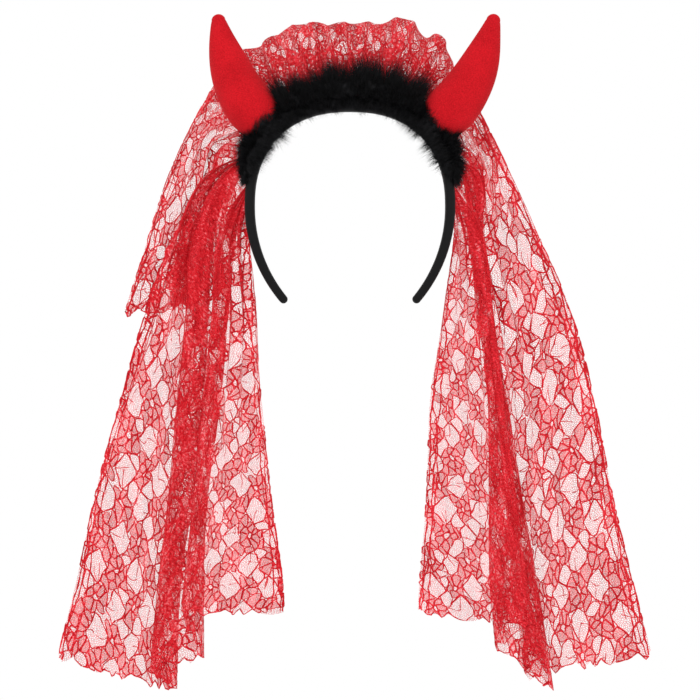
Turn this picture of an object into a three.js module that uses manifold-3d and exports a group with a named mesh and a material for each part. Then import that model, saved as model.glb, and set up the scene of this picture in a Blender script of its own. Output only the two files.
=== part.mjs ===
// Devil horns headband with a gathered lace veil.
// Millimetres, +X to the photo's right, +Y away from the viewer, +Z up.
// The origin is the under face of the head band at the middle of its crown.
import * as THREE from 'three';
import Module from 'manifold-3d';
import { mergeVertices } from 'three/addons/utils/BufferGeometryUtils.js';

const wasm = await Module();
wasm.setup();

const { degToRad, lerp, seededRandom, smoothstep } = THREE.MathUtils;

// Clearances
const GAP = 0.3;
const HORN_CLEARANCE = 0.5;
const SEAM_CLEARANCE = 0.9;
const SLIVER = 0.01;

// Head band: a flat crown arch that goes over into two arms
const BAND_HALF_WIDTH = 66.5;
const BAND_RISE = 65.9;
const BAND_SQUARENESS = 2.3;
const ARM_RADIUS = 96.8;
const ARM_DROP = 64;
const BAND_THICKNESS = 6.9;
const BAND_DEPTH = 11;
const TIP_THICKNESS = 5.6;
const TIP_DEPTH = 8;
const BAND_CORNER_POWER = 2.8;

// Fur trim: a strip on the band's outer face with locks fused to it
const FUR_FROM_DEG = 9;
const FUR_TO_DEG = 171;
const FUR_BACKING = 2.4;
const FUR_BACKING_WIDTH = 9;
const FUR_HEIGHT = 30;
const FUR_REACH = 15;
const DOWN_SHARE = 0.56;
const DOWN_DEPTH = 15;
const LOCK_PITCH = 11.5;
const LOCK_RADIUS = 4.6;
const LOCK_WAIST = 0.75;
const LOCK_STUB = 1.5;
const LOCK_SIDES = 4;
const LEAN_VARIATION_DEG = 8;
const ASIDE_VARIATION = 0.3;
const LENGTH_VARIATION = 0.12;

// Horns: stuffed, bent up from a seat on the trim
const HORN_SEAT_DEG = 45;
const HORN_LENGTH = 78.6;
const HORN_RADIUS = 16.9;
const HORN_TIP_RADIUS = 4.3;
const HORN_TIP_CONE_DEG = 19;
const HORN_TIP_BLEND = 0.9;
const HORN_HANDLE = 36;
const HORN_DEPTH_SHARE = 0.84;
const HORN_FORWARD = 3;
const HORN_SADDLE = 1;
const SADDLE_REACH_DEG = 25;

// Lace veil
const LACE_WALL = 1.1;
const PUFF_HEIGHT = 59.5;
const PUFF_DEPTH = 32;
const PUFF_RUFFLE = 3.2;
const PUFF_RUFFLES = 5;
const PUFF_RUFFLE_SLANT = 0.35;
const PUFF_RUFFLE_FLATTENING = 0.4;
const PUFF_RIDGE_WAVE = 0.3;
const PUFF_SWELL = { base: 0.75, share: 0.4, pace: 0.43, start: 1 };
const PUFF_FROM_DEG = 52;
const PUFF_TO_DEG = 128;
const PUFF_COLUMNS = 28;
const PUFF_ROWS = 12;
const PUFF_WINDOWS = { rows: [4, 7], every: 5, from: 1 };
const SEAM_STEP = { from: 12, to: 20 };
const VEIL_FALL = 394;
const VEIL_SPREAD_LEFT = 202;
const VEIL_SPREAD_RIGHT = 208;
const VEIL_DEPTH = 46;
const VEIL_FALL_BACK = { start: 0.46, from: -0.1, to: 0.4 };
const DRAPE_WAVE = 3.5;
const DRAPE_LENGTH = 170;
const DRAPE_SLANT = 1.6;
const DRAPE_START = { from: 0.1, to: 0.5 };
const HEM_NOTCH = 5;
const FOLD_ROUNDING = 0.7;
const RAIL_CLEAR_DROP = 4;
const RAIL_CLEAR_SHARE = 0.03;
const WINDOW_MARGIN = 0.14;
const WINDOW_PANEL_COLUMNS = 6;
const WINDOW_FIRST_ROW = 2;

// Height of the fur above its strip along the arch, from the right arm to the left one
const FUR_PROFILE = [
  { deg: 9, height: 0.12 },
  { deg: 20, height: 0.34 },
  { deg: 30, height: 0.6 },
  { deg: 45, height: 0.9 },
  { deg: 60, height: 0.98 },
  { deg: 72, height: 0.8 },
  { deg: 78, height: 0.96 },
  { deg: 92, height: 0.92 },
  { deg: 102, height: 0.82 },
  { deg: 111, height: 0.62 },
  { deg: 121, height: 0.85 },
  { deg: 135, height: 0.8 },
  { deg: 150, height: 0.46 },
  { deg: 160, height: 0.27 },
  { deg: 171, height: 0.12 },
];

// Rows of locks across the strip, from its back to its front: place across the strip,
// lean towards the viewer, length, and how far the tip curls out (or droops in)
const LOCK_ROWS = [
  { across: 0.16, lean: 4, length: 1, curl: 0 },
  { across: -0.15, lean: 34, length: 0.94, curl: 0.1 },
  { across: -0.36, lean: 66, length: 0.8, curl: 0.24 },
  { across: -0.44, lean: 96, length: 0.66, curl: -0.2 },
];

// Horn section radius from the seat to the tip
const HORN_PROFILE = [
  { along: 0, radius: 0.66 },
  { along: 0.085, radius: 0.88 },
  { along: 0.19, radius: 1 },
  { along: 0.32, radius: 0.99 },
  { along: 0.47, radius: 0.9 },
  { along: 0.66, radius: 0.71 },
  { along: 0.8, radius: 0.53 },
  { along: 0.9, radius: 0.385 },
  { along: 1, radius: 0.24 },
];

const HORNS = [
  { name: 'horn_left', side: -1, turn: 19, startTurn: -6, stretch: 1 },
  { name: 'horn_right', side: 1, turn: 14, startTurn: -11, stretch: 1.05 },
];

// Ridge of the puff along the arch
const PUFF_RIDGE = [
  { deg: 52, height: 0.78 },
  { deg: 56, height: 0.9 },
  { deg: 59, height: 1 },
  { deg: 63, height: 1.07 },
  { deg: 67.5, height: 1 },
  { deg: 72, height: 1.12 },
  { deg: 81, height: 1.03 },
  { deg: 97, height: 1.01 },
  { deg: 105, height: 1.05 },
  { deg: 113, height: 1.01 },
  { deg: 120, height: 0.98 },
  { deg: 124, height: 1.03 },
  { deg: 128, height: 0.98 },
];

// Section of the puff from its front seam over the ridge to its rear seam
const PUFF_SECTION = [
  { along: 0, rise: 0, depth: 0 },
  { along: 0.14, rise: 0.3, depth: 0.07 },
  { along: 0.3, rise: 0.68, depth: 0.2 },
  { along: 0.42, rise: 0.94, depth: 0.36 },
  { along: 0.5, rise: 1, depth: 0.52 },
  { along: 0.6, rise: 0.9, depth: 0.74 },
  { along: 0.74, rise: 0.58, depth: 0.96 },
  { along: 0.87, rise: 0.26, depth: 0.8 },
  { along: 1, rise: 0.05, depth: 0.22 },
];

// The folds of each hanging sheet, from its outer edge to its inner edge: where the fold
// leaves the seam, how high it starts up the puff's end, its hem, its place in depth, and
// the columns of lace from it to the next fold
const LEFT_FOLDS = [
  { rail: 'outer', deg: 146, rise: 0, hem: 0.947, depth: 1, columns: 7 },
  { rail: 'foldA', deg: 150, rise: 0, hem: 1, depth: 0.86, columns: 3 },
  { rail: 'backA', deg: 155, rise: 0, hem: 0.96, depth: 0.72, columns: 4 },
  { rail: 'foldB', deg: 160, rise: 0, hem: 0.935, depth: 0.58, columns: 3 },
  { rail: 'backB', deg: 165, rise: 0, hem: 0.857, depth: 0.44, columns: 7 },
  { rail: 'inner', deg: 171, rise: 0, hem: 0.85, depth: 0.3, columns: 0 },
];
const RIGHT_FOLDS = [
  { rail: 'outer', deg: 50, rise: 0.78, hem: 0.94, depth: 1, columns: 7 },
  { rail: 'foldA', deg: 40, rise: 0, hem: 0.972, depth: 0.86, columns: 3 },
  { rail: 'backA', deg: 33, rise: 0, hem: 0.992, depth: 0.72, columns: 4 },
  { rail: 'foldB', deg: 26, rise: 0, hem: 0.916, depth: 0.58, columns: 3 },
  { rail: 'backB', deg: 18, rise: 0, hem: 0.88, depth: 0.44, columns: 7 },
  { rail: 'inner', deg: 9, rise: 0, hem: 0.853, depth: 0.3, columns: 0 },
];
const SHORT_FOLDS = [
  { rail: 'outer', deg: 130, rise: 1, hem: 0.345, depth: 1.3, columns: 6 },
  { rail: 'foldA', deg: 134, rise: 0, hem: 0.33, depth: 1.23, columns: 3 },
  { rail: 'backA', deg: 138, rise: 0, hem: 0.325, depth: 1.16, columns: 4 },
  { rail: 'inner', deg: 142, rise: 0, hem: 0.32, depth: 1.09, columns: 0 },
];

// Distance of each fold from the middle, by how far down the veil it is
const LEFT_SECTIONS = [
  { down: 0.1, outer: 0.49, foldA: 0.4, backA: 0.42, foldB: 0.355, backB: 0.37, inner: 0.346 },
  { down: 0.2, outer: 0.605, foldA: 0.46, backA: 0.53, foldB: 0.382, backB: 0.43, inner: 0.342 },
  { down: 0.35, outer: 0.7, foldA: 0.484, backA: 0.56, foldB: 0.411, backB: 0.467, inner: 0.313 },
  { down: 0.5, outer: 0.795, foldA: 0.5, backA: 0.587, foldB: 0.443, backB: 0.496, inner: 0.291 },
  { down: 0.65, outer: 0.866, foldA: 0.527, backA: 0.615, foldB: 0.475, backB: 0.525, inner: 0.262 },
  { down: 0.8, outer: 0.932, foldA: 0.572, backA: 0.648, foldB: 0.491, backB: 0.557, inner: 0.222 },
  { down: 1, outer: 1.025, foldA: 0.586, backA: 0.685, foldB: 0.486, backB: 0.6, inner: 0.21 },
];
const RIGHT_SECTIONS = [
  { down: 0.1, outer: 0.518, foldA: 0.4, backA: 0.42, foldB: 0.37, backB: 0.385, inner: 0.335 },
  { down: 0.2, outer: 0.615, foldA: 0.4, backA: 0.437, foldB: 0.39, backB: 0.425, inner: 0.338 },
  { down: 0.35, outer: 0.737, foldA: 0.435, backA: 0.472, foldB: 0.425, backB: 0.466, inner: 0.298 },
  { down: 0.5, outer: 0.814, foldA: 0.478, backA: 0.515, foldB: 0.447, backB: 0.495, inner: 0.262 },
  { down: 0.65, outer: 0.869, foldA: 0.508, backA: 0.562, foldB: 0.452, backB: 0.54, inner: 0.247 },
  { down: 0.8, outer: 0.933, foldA: 0.537, backA: 0.615, foldB: 0.454, backB: 0.578, inner: 0.223 },
  { down: 1, outer: 1.03, foldA: 0.58, backA: 0.672, foldB: 0.485, backB: 0.66, inner: 0.205 },
];
const SHORT_SECTIONS = [
  { down: -0.04, outer: 0.485, foldA: 0.33, backA: 0.36, inner: 0.3 },
  { down: 0.05, outer: 0.575, foldA: 0.43, backA: 0.48, inner: 0.4 },
  { down: 0.15, outer: 0.655, foldA: 0.47, backA: 0.55, inner: 0.42 },
  { down: 0.25, outer: 0.72, foldA: 0.5, backA: 0.6, inner: 0.43 },
  { down: 0.345, outer: 0.785, foldA: 0.53, backA: 0.63, inner: 0.45 },
];

const SHEETS = [
  {
    name: 'veil_drop_left',
    folds: LEFT_FOLDS,
    sections: LEFT_SECTIONS,
    side: -1,
    spread: VEIL_SPREAD_LEFT,
    rows: 13,
  },
  {
    name: 'veil_drop_right',
    folds: RIGHT_FOLDS,
    sections: RIGHT_SECTIONS,
    side: 1,
    spread: VEIL_SPREAD_RIGHT,
    rows: 13,
  },
  {
    name: 'veil_short_layer',
    folds: SHORT_FOLDS,
    sections: SHORT_SECTIONS,
    side: -1,
    spread: VEIL_SPREAD_LEFT,
    rows: 7,
  },
];

const BAND_MATERIAL = { color: 0x101012, roughness: 0.6, metalness: 0 };
const FUR_MATERIAL = { color: 0x0b0b0c, roughness: 0.95, metalness: 0 };
const HORN_MATERIAL = { color: 0xd31622, roughness: 0.85, metalness: 0 };
const LACE_MATERIAL = { color: 0xd8202e, roughness: 0.8, metalness: 0 };

// Table lookups

function tableValue(rows, key, column, at) {
  const last = rows.length - 1;
  const above = rows.findIndex((row) => row[key] >= at);
  const high = above < 0 ? last : Math.max(above, 1);
  const a = rows[high - 1];
  const b = rows[high];
  const share = THREE.MathUtils.clamp((at - a[key]) / (b[key] - a[key]), 0, 1);
  return lerp(a[column], b[column], share);
}

// Solids and geometries

function toSolid(geometry) {
  const bare = geometry.clone();
  bare.deleteAttribute('normal');
  bare.deleteAttribute('uv');
  const merged = mergeVertices(bare);
  const mesh = new wasm.Mesh({
    numProp: 3,
    vertProperties: merged.attributes.position.array,
    triVerts: new Uint32Array(merged.index.array),
  });
  return new wasm.Manifold(mesh);
}

function toGeometry(solid) {
  const mesh = solid.getMesh();
  const geometry = new THREE.BufferGeometry();
  geometry.setAttribute('position', new THREE.BufferAttribute(mesh.vertProperties, 3));
  geometry.setIndex(new THREE.BufferAttribute(mesh.triVerts, 1));
  return geometry;
}

function largestPiece(solid) {
  const pieces = solid.decompose();
  return pieces.reduce((best, piece) => (piece.volume() > best.volume() ? piece : best));
}

function indexedGeometry(points, triangles) {
  const geometry = new THREE.BufferGeometry().setFromPoints(points);
  geometry.setIndex(triangles.flat());
  return geometry;
}

// A closed body through rings of points, its ends fanned to a start and an end point.
function loft(rings, start, end) {
  const count = rings[0].length;
  const points = [...rings.flat(), start, end];
  const startIndex = points.length - 2;
  const endIndex = points.length - 1;
  const lastRing = (rings.length - 1) * count;
  const triangles = [];
  for (let k = 0; k < count; k += 1) {
    const next = (k + 1) % count;
    triangles.push([startIndex, next, k], [endIndex, lastRing + k, lastRing + next]);
    for (let ring = 0; ring < lastRing; ring += count) {
      const [a, b] = [ring + k, ring + next];
      triangles.push([a, b, b + count], [a, b + count, a + count]);
    }
  }
  return indexedGeometry(points, triangles);
}

// Points round a centre in the plane of two axes; power 2 is an ellipse, more is squarer.
function ring(centre, across, up, halfAcross, halfUp, sides, power = 2) {
  const rounded = (value) => Math.sign(value) * Math.abs(value) ** (2 / power);
  return Array.from({ length: sides }, (_, k) => {
    const angle = (2 * Math.PI * (k + 0.5)) / sides;
    return centre
      .clone()
      .addScaledVector(across, halfAcross * rounded(Math.cos(angle)))
      .addScaledVector(up, halfUp * rounded(Math.sin(angle)));
  });
}

// The arch of the band

const WIDEST_Z = BAND_THICKNESS / 2 - BAND_RISE;
const REAR = new THREE.Vector3(0, 1, 0);

function archPoint(deg) {
  const angle = degToRad(deg);
  const rounded = (value) => Math.sign(value) * Math.abs(value) ** (2 / BAND_SQUARENESS);
  const x = BAND_HALF_WIDTH * rounded(Math.cos(angle));
  return new THREE.Vector3(x, 0, WIDEST_Z + BAND_RISE * rounded(Math.sin(angle)));
}

function archOutward(deg) {
  const point = archPoint(deg);
  const slope = (value, size) => (Math.sign(value) * Math.abs(value / size) ** (BAND_SQUARENESS - 1)) / size;
  const x = slope(point.x, BAND_HALF_WIDTH);
  return new THREE.Vector3(x, 0, slope(point.z - WIDEST_Z, BAND_RISE)).normalize();
}

function archOffset(deg, outward, rearward) {
  return archPoint(deg).addScaledVector(archOutward(deg), outward).addScaledVector(REAR, rearward);
}

// A strip that follows the arch between two radial distances from the band's middle.
function archStrip(fromDeg, toDeg, inner, outer, halfWidth, steps) {
  const corners = [
    [outer, -halfWidth],
    [inner, -halfWidth],
    [inner, halfWidth],
    [outer, halfWidth],
  ];
  const rings = [];
  for (let step = 0; step <= steps; step += 1) {
    const deg = lerp(toDeg, fromDeg, step / steps);
    rings.push(corners.map(([outward, rearward]) => archOffset(deg, outward, rearward)));
  }
  const middle = (inner + outer) / 2;
  return loft(rings, archOffset(toDeg, middle, 0), archOffset(fromDeg, middle, 0));
}

// Head band

class ArmCurve extends THREE.Curve {
  constructor(side) {
    super();
    this.side = side;
  }

  getPoint(share, target = new THREE.Vector3()) {
    const sweep = Math.asin(ARM_DROP / ARM_RADIUS) * share;
    const x = BAND_HALF_WIDTH - ARM_RADIUS * (1 - Math.cos(sweep));
    return target.set(this.side * x, 0, WIDEST_Z - ARM_RADIUS * Math.sin(sweep));
  }
}

function bandCentreline() {
  const armSteps = 10;
  const crownSteps = 30;
  const left = new ArmCurve(-1).getSpacedPoints(armSteps).reverse();
  const right = new ArmCurve(1).getSpacedPoints(armSteps);
  const crown = [];
  for (let step = 1; step < crownSteps; step += 1) {
    crown.push(archPoint(180 - (180 * step) / crownSteps));
  }
  return new THREE.CatmullRomCurve3([...left, ...crown, ...right]);
}

function headBand() {
  const curve = bandCentreline();
  const steps = 38;
  const sides = 10;
  const length = curve.getLength();
  const tipRound = TIP_THICKNESS / 2 / length;
  const ends = [0.12, 0.5, 1].map((share) => share * tipRound);
  const middle = Array.from({ length: steps - 1 }, (_, k) => (k + 1) / steps);
  const stations = [...ends, ...middle, ...ends.map((share) => 1 - share).reverse()];
  const armShare = (ARM_RADIUS * Math.asin(ARM_DROP / ARM_RADIUS)) / length;
  const rings = stations.map((share) => {
    const fromTip = Math.min(share, 1 - share);
    const taper = Math.min(fromTip / armShare, 1);
    const round = Math.sqrt(1 - (1 - Math.min(fromTip / tipRound, 1)) ** 2);
    const along = curve.getTangentAt(share);
    const outward = new THREE.Vector3().crossVectors(REAR, along).negate();
    const thickness = lerp(TIP_THICKNESS, BAND_THICKNESS, taper) / 2;
    const depth = lerp(TIP_DEPTH, BAND_DEPTH, taper) / 2;
    const centre = curve.getPointAt(share);
    return ring(centre, outward, REAR, thickness * round, depth * round, sides, BAND_CORNER_POWER);
  });
  return loft(rings.map((points) => points.reverse()), curve.getPointAt(0), curve.getPointAt(1));
}

// Horns

const STRIP_TOP = BAND_THICKNESS / 2 + GAP + FUR_BACKING;

function hornSeatDeg(side) {
  return side > 0 ? HORN_SEAT_DEG : 180 - HORN_SEAT_DEG;
}

function hornAxis(horn) {
  const deg = hornSeatDeg(horn.side);
  const outward = archOutward(deg);
  const start = archOffset(deg, STRIP_TOP + GAP - HORN_SADDLE, -HORN_FORWARD);
  const turned = (angle) => outward.clone().applyAxisAngle(REAR, degToRad(-horn.side * angle));
  const handle = start.clone().addScaledVector(turned(horn.startTurn), HORN_HANDLE * horn.stretch);
  const tip = start.clone().addScaledVector(turned(horn.turn), HORN_LENGTH * horn.stretch);
  return new THREE.QuadraticBezierCurve3(start, handle, tip);
}

function hornBody(horn, margin = 0) {
  const axis = hornAxis(horn);
  const sides = 14;
  const bodySteps = 10;
  const tipSteps = 3;
  const cone = degToRad(HORN_TIP_CONE_DEG);
  const tipRing = HORN_TIP_RADIUS * Math.cos(cone);
  const rings = [];
  const addRing = (centre, along, radius) => {
    const across = new THREE.Vector3().crossVectors(REAR, along).normalize();
    const size = radius + margin;
    rings.push(ring(centre, across, REAR, size, size * HORN_DEPTH_SHARE, sides));
  };
  for (let step = 0; step <= bodySteps; step += 1) {
    const share = step / bodySteps;
    const body = HORN_RADIUS * tableValue(HORN_PROFILE, 'along', 'radius', share);
    const radius = lerp(body, tipRing, smoothstep(share, HORN_TIP_BLEND, 1));
    addRing(axis.getPointAt(share), axis.getTangentAt(share), radius);
  }
  const along = axis.getTangentAt(1);
  const centre = axis.getPointAt(1).addScaledVector(along, -HORN_TIP_RADIUS * Math.sin(cone));
  for (let step = 1; step < tipSteps; step += 1) {
    const angle = lerp(cone, Math.PI / 2, step / tipSteps);
    const reach = HORN_TIP_RADIUS * Math.sin(angle);
    addRing(centre.clone().addScaledVector(along, reach), along, HORN_TIP_RADIUS * Math.cos(angle));
  }
  const tip = centre.clone().addScaledVector(along, HORN_TIP_RADIUS + margin);
  const foot = axis.getPointAt(0).addScaledVector(axis.getTangentAt(0), -margin);
  return loft(rings, foot, tip);
}

function stuffedHorn(horn) {
  const deg = hornSeatDeg(horn.side);
  const [from, to] = [deg - SADDLE_REACH_DEG, deg + SADDLE_REACH_DEG];
  const saddle = archStrip(from, to, 0, STRIP_TOP + GAP, BAND_DEPTH / 2 + GAP, 10);
  return toGeometry(largestPiece(toSolid(hornBody(horn)).subtract(toSolid(saddle))));
}

// Fur trim

function furLock(deg, row, seed) {
  const height = FUR_HEIGHT * tableValue(FUR_PROFILE, 'deg', 'height', deg);
  const vary = (share) => 1 + share * (2 * seededRandom(seed) - 1);
  const lean = degToRad(row.lean + LEAN_VARIATION_DEG * (seededRandom(seed + 1) - 0.5));
  const outward = archOutward(deg);
  const sideways = new THREE.Vector3().crossVectors(REAR, outward);
  const forward = REAR.clone().negate();
  const direction = outward
    .clone()
    .multiplyScalar(Math.cos(lean))
    .addScaledVector(forward, Math.sin(lean))
    .addScaledVector(sideways, ASIDE_VARIATION * (seededRandom(seed + 2) - 0.5))
    .normalize();
  const reach = lerp(height, Math.min(FUR_REACH, height), Math.sin(lean));
  const length = Math.max(reach * row.length * vary(LENGTH_VARIATION), LOCK_RADIUS * LOCK_STUB);
  const rootHeight = BAND_THICKNESS / 2 + GAP + FUR_BACKING / 2;
  const root = archOffset(deg, rootHeight, row.across * FUR_BACKING_WIDTH);
  const middle = root.clone().addScaledVector(direction, length * 0.5);
  const tip = root
    .clone()
    .addScaledVector(direction, length)
    .addScaledVector(outward, row.curl * length);
  const across = new THREE.Vector3().crossVectors(direction, sideways).normalize();
  const other = new THREE.Vector3().crossVectors(direction, across);
  const waist = LOCK_RADIUS * LOCK_WAIST;
  const rings = [
    ring(root, across, other, LOCK_RADIUS, LOCK_RADIUS, LOCK_SIDES),
    ring(middle, across, other, waist, waist, LOCK_SIDES),
  ];
  return loft(rings, root, tip);
}

// The dense down of the trim, which the locks stand out of.
function furDown() {
  const steps = 26;
  const sides = 8;
  const rings = [];
  for (let step = 0; step <= steps; step += 1) {
    const deg = lerp(FUR_TO_DEG, FUR_FROM_DEG, step / steps);
    const top = FUR_HEIGHT * DOWN_SHARE * tableValue(FUR_PROFILE, 'deg', 'height', deg);
    const height = FUR_BACKING + top;
    const centre = archOffset(deg, BAND_THICKNESS / 2 + GAP + height / 2, BAND_DEPTH / 2 - DOWN_DEPTH / 2);
    rings.push(ring(centre, archOutward(deg), REAR, height / 2, DOWN_DEPTH / 2, sides).reverse());
  }
  const end = (deg) => archOffset(deg, BAND_THICKNESS / 2 + GAP + FUR_BACKING / 2, 0);
  return loft(rings, end(FUR_TO_DEG), end(FUR_FROM_DEG));
}

function furTrim() {
  const bandHalf = BAND_THICKNESS / 2 + GAP;
  const backing = archStrip(FUR_FROM_DEG, FUR_TO_DEG, bandHalf, STRIP_TOP, FUR_BACKING_WIDTH / 2, 30);
  const arc = degToRad(FUR_TO_DEG - FUR_FROM_DEG) * BAND_HALF_WIDTH;
  const stations = Math.round(arc / LOCK_PITCH);
  const stagger = 0.5;
  const locks = [];
  for (let station = 1; station < stations; station += 1) {
    LOCK_ROWS.forEach((row, rowIndex) => {
      const place = station + stagger * (rowIndex % 2);
      const deg = lerp(FUR_FROM_DEG, FUR_TO_DEG, place / (stations + stagger));
      locks.push(toSolid(furLock(deg, row, station * 31 + rowIndex * 7)));
    });
  }
  const bandSpace = archStrip(0, 180, -bandHalf, bandHalf - SLIVER, BAND_DEPTH / 2 + GAP, 40);
  const far = 4 * BAND_HALF_WIDTH;
  const behind = new THREE.BoxGeometry(far, far, far).translate(0, far / 2 + BAND_DEPTH / 2 - GAP, 0);
  const cuts = [bandSpace, behind, ...HORNS.map((horn) => hornBody(horn, HORN_CLEARANCE))];
  const trim = wasm.Manifold.union([toSolid(backing), toSolid(furDown()), ...locks]);
  return toGeometry(largestPiece(trim.subtract(wasm.Manifold.union(cuts.map(toSolid)))));
}

// Lace veil

// An open surface made into a closed wall, half of it on each side.
function thicken(surface, wall) {
  surface.computeVertexNormals();
  const { position, normal } = surface.attributes;
  const count = position.count;
  const points = [];
  for (const half of [wall / 2, -wall / 2]) {
    for (let k = 0; k < count; k += 1) {
      const offset = new THREE.Vector3().fromBufferAttribute(normal, k).multiplyScalar(half);
      points.push(new THREE.Vector3().fromBufferAttribute(position, k).add(offset));
    }
  }
  const index = surface.index.array;
  const triangles = [];
  const open = new Map();
  for (let k = 0; k < index.length; k += 3) {
    const [a, b, c] = [index[k], index[k + 1], index[k + 2]];
    triangles.push([a, b, c], [a + count, c + count, b + count]);
    for (const [from, to] of [[a, b], [b, c], [c, a]]) {
      if (!open.delete(`${to} ${from}`)) {
        open.set(`${from} ${to}`, [from, to]);
      }
    }
  }
  for (const [from, to] of open.values()) {
    triangles.push([from, from + count, to + count], [from, to + count, to]);
  }
  return indexedGeometry(points, triangles);
}

// A surface over a grid of points, with a diamond lace window in the cells that hold one.
function laceSurface(grid, hasWindow) {
  const columns = grid[0].length;
  const points = grid.flat();
  const triangles = [];
  const diamond = [
    [0.5, WINDOW_MARGIN],
    [1 - WINDOW_MARGIN, 0.5],
    [0.5, 1 - WINDOW_MARGIN],
    [WINDOW_MARGIN, 0.5],
  ];
  for (let r = 0; r < grid.length - 1; r += 1) {
    for (let c = 0; c < columns - 1; c += 1) {
      const corners = [r * columns + c, r * columns + c + 1, (r + 1) * columns + c + 1, (r + 1) * columns + c];
      if (!hasWindow(r, c)) {
        triangles.push([corners[0], corners[1], corners[2]], [corners[0], corners[2], corners[3]]);
        continue;
      }
      const first = points.length;
      for (const [s, t] of diamond) {
        const top = grid[r][c].clone().lerp(grid[r][c + 1], s);
        points.push(top.lerp(grid[r + 1][c].clone().lerp(grid[r + 1][c + 1], s), t));
      }
      for (let k = 0; k < 4; k += 1) {
        const next = (k + 1) % 4;
        triangles.push([corners[k], corners[next], first + k]);
        triangles.push([corners[next], first + next, first + k]);
      }
    }
  }
  return indexedGeometry(points, triangles);
}

// Where the veil's seam lies behind the band: it steps back behind each horn.
function seamDepth(deg) {
  const atBand = BAND_DEPTH / 2 + GAP + LACE_WALL / 2;
  const atHorn = HORN_RADIUS * HORN_DEPTH_SHARE - HORN_FORWARD + SEAM_CLEARANCE + LACE_WALL;
  const fromHorn = Math.abs(Math.min(deg, 180 - deg) - HORN_SEAT_DEG);
  return lerp(Math.max(atHorn, atBand), atBand, smoothstep(fromHorn, SEAM_STEP.from, SEAM_STEP.to));
}

function veilPuff() {
  const { base, share, pace, start } = PUFF_SWELL;
  const grid = [];
  for (let r = 0; r <= PUFF_ROWS; r += 1) {
    const along = r / PUFF_ROWS;
    const rise = tableValue(PUFF_SECTION, 'along', 'rise', along);
    const depth = tableValue(PUFF_SECTION, 'along', 'depth', along);
    const free = Math.sin(Math.PI * along);
    const line = [];
    for (let c = 0; c <= PUFF_COLUMNS; c += 1) {
      const deg = lerp(PUFF_TO_DEG, PUFF_FROM_DEG, c / PUFF_COLUMNS);
      const height = PUFF_HEIGHT * tableValue(PUFF_RIDGE, 'deg', 'height', deg);
      const phase = 2 * Math.PI * (PUFF_RUFFLES * (c / PUFF_COLUMNS) + PUFF_RUFFLE_SLANT * along);
      const swell = base + share * Math.sin(phase * pace + start);
      const ruffle = PUFF_RUFFLE * free * swell * Math.sin(phase);
      const wave = PUFF_RIDGE_WAVE * PUFF_RUFFLE * free * Math.cos(2 * phase);
      const back = seamDepth(deg) + PUFF_DEPTH * depth + ruffle * (1 - depth * PUFF_RUFFLE_FLATTENING);
      line.push(archOffset(deg, height * rise + wave, back));
    }
    grid.push(line);
  }
  const { rows, every, from } = PUFF_WINDOWS;
  const hasWindow = (r, c) => rows.includes(r) && (c + r) % every === from;
  return thicken(laceSurface(grid, hasWindow), LACE_WALL);
}

// How much of its full depth the veil has reached at a height.
function fallBack(down) {
  const { start, from, to } = VEIL_FALL_BACK;
  return lerp(start, 1, smoothstep(down, from, to));
}

function drapeWave(x, z, down) {
  const phase = (2 * Math.PI * (x * DRAPE_SLANT + z)) / DRAPE_LENGTH;
  return DRAPE_WAVE * Math.sin(phase) * smoothstep(down, DRAPE_START.from, DRAPE_START.to);
}

function veilRail(fold, sections, side, spread) {
  const ridge = (PUFF_DEPTH / 2) * fold.rise;
  const top = archOffset(fold.deg, PUFF_HEIGHT * fold.rise, seamDepth(fold.deg) + ridge);
  const place = (down) => {
    const x = side * spread * tableValue(sections, 'down', fold.rail, down);
    const z = -VEIL_FALL * down;
    const y = VEIL_DEPTH * fold.depth * fallBack(down) + drapeWave(x, z, down);
    return new THREE.Vector3(x, y, z);
  };
  const belowSeam = (down) => -VEIL_FALL * down < top.z - RAIL_CLEAR_DROP;
  const aboveHem = (down) => down < fold.hem - RAIL_CLEAR_SHARE;
  const downs = sections.map((row) => row.down).filter((down) => belowSeam(down) && aboveHem(down));
  return new THREE.CatmullRomCurve3([top, ...downs.map(place), place(fold.hem)]);
}

// The columns of a folded sheet: which panel each is in, and how far across that panel.
function panelColumns(folds) {
  const columns = folds.flatMap((fold, panel) =>
    Array.from({ length: fold.columns }, (_, k) => ({ panel, share: k / fold.columns, place: k })),
  );
  return [...columns, { panel: folds.length - 2, share: 1, place: 0 }];
}

function foldedPoint(points, { panel, share }) {
  const eased = share - (FOLD_ROUNDING * Math.sin(2 * Math.PI * share)) / (2 * Math.PI);
  const point = points[panel].clone().lerp(points[panel + 1], eased);
  point.y = lerp(points[panel].y, points[panel + 1].y, share);
  return point;
}

function veilDrop({ folds, sections, side, spread, rows }) {
  const rails = folds.map((fold) => veilRail(fold, sections, side, spread));
  const columns = panelColumns(folds);
  const grid = [];
  for (let r = 0; r <= rows; r += 1) {
    const points = rails.map((rail) => rail.getPointAt(r / rows));
    const line = columns.map((column) => foldedPoint(points, column));
    grid.push(line);
  }
  const hem = grid[rows];
  hem.forEach((point, c) => {
    point.z += c % 2 ? HEM_NOTCH : 0;
  });
  const hasWindow = (r, c) => {
    const { panel, place } = columns[c];
    const wide = folds[panel].columns >= WINDOW_PANEL_COLUMNS;
    const clearRow = r >= WINDOW_FIRST_ROW && r < rows - 1;
    const clearColumn = place > 0 && place < WINDOW_PANEL_COLUMNS;
    return wide && clearRow && clearColumn && place % 2 === (r + 1) % 2;
  };
  return thicken(laceSurface(grid, hasWindow), LACE_WALL);
}

// The headband

const group = new THREE.Group();

function addPiece(name, geometry, material) {
  const flat = geometry.index ? geometry.toNonIndexed() : geometry;
  flat.computeVertexNormals();
  const mesh = new THREE.Mesh(flat, new THREE.MeshStandardMaterial(material));
  mesh.name = name;
  group.add(mesh);
}

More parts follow.
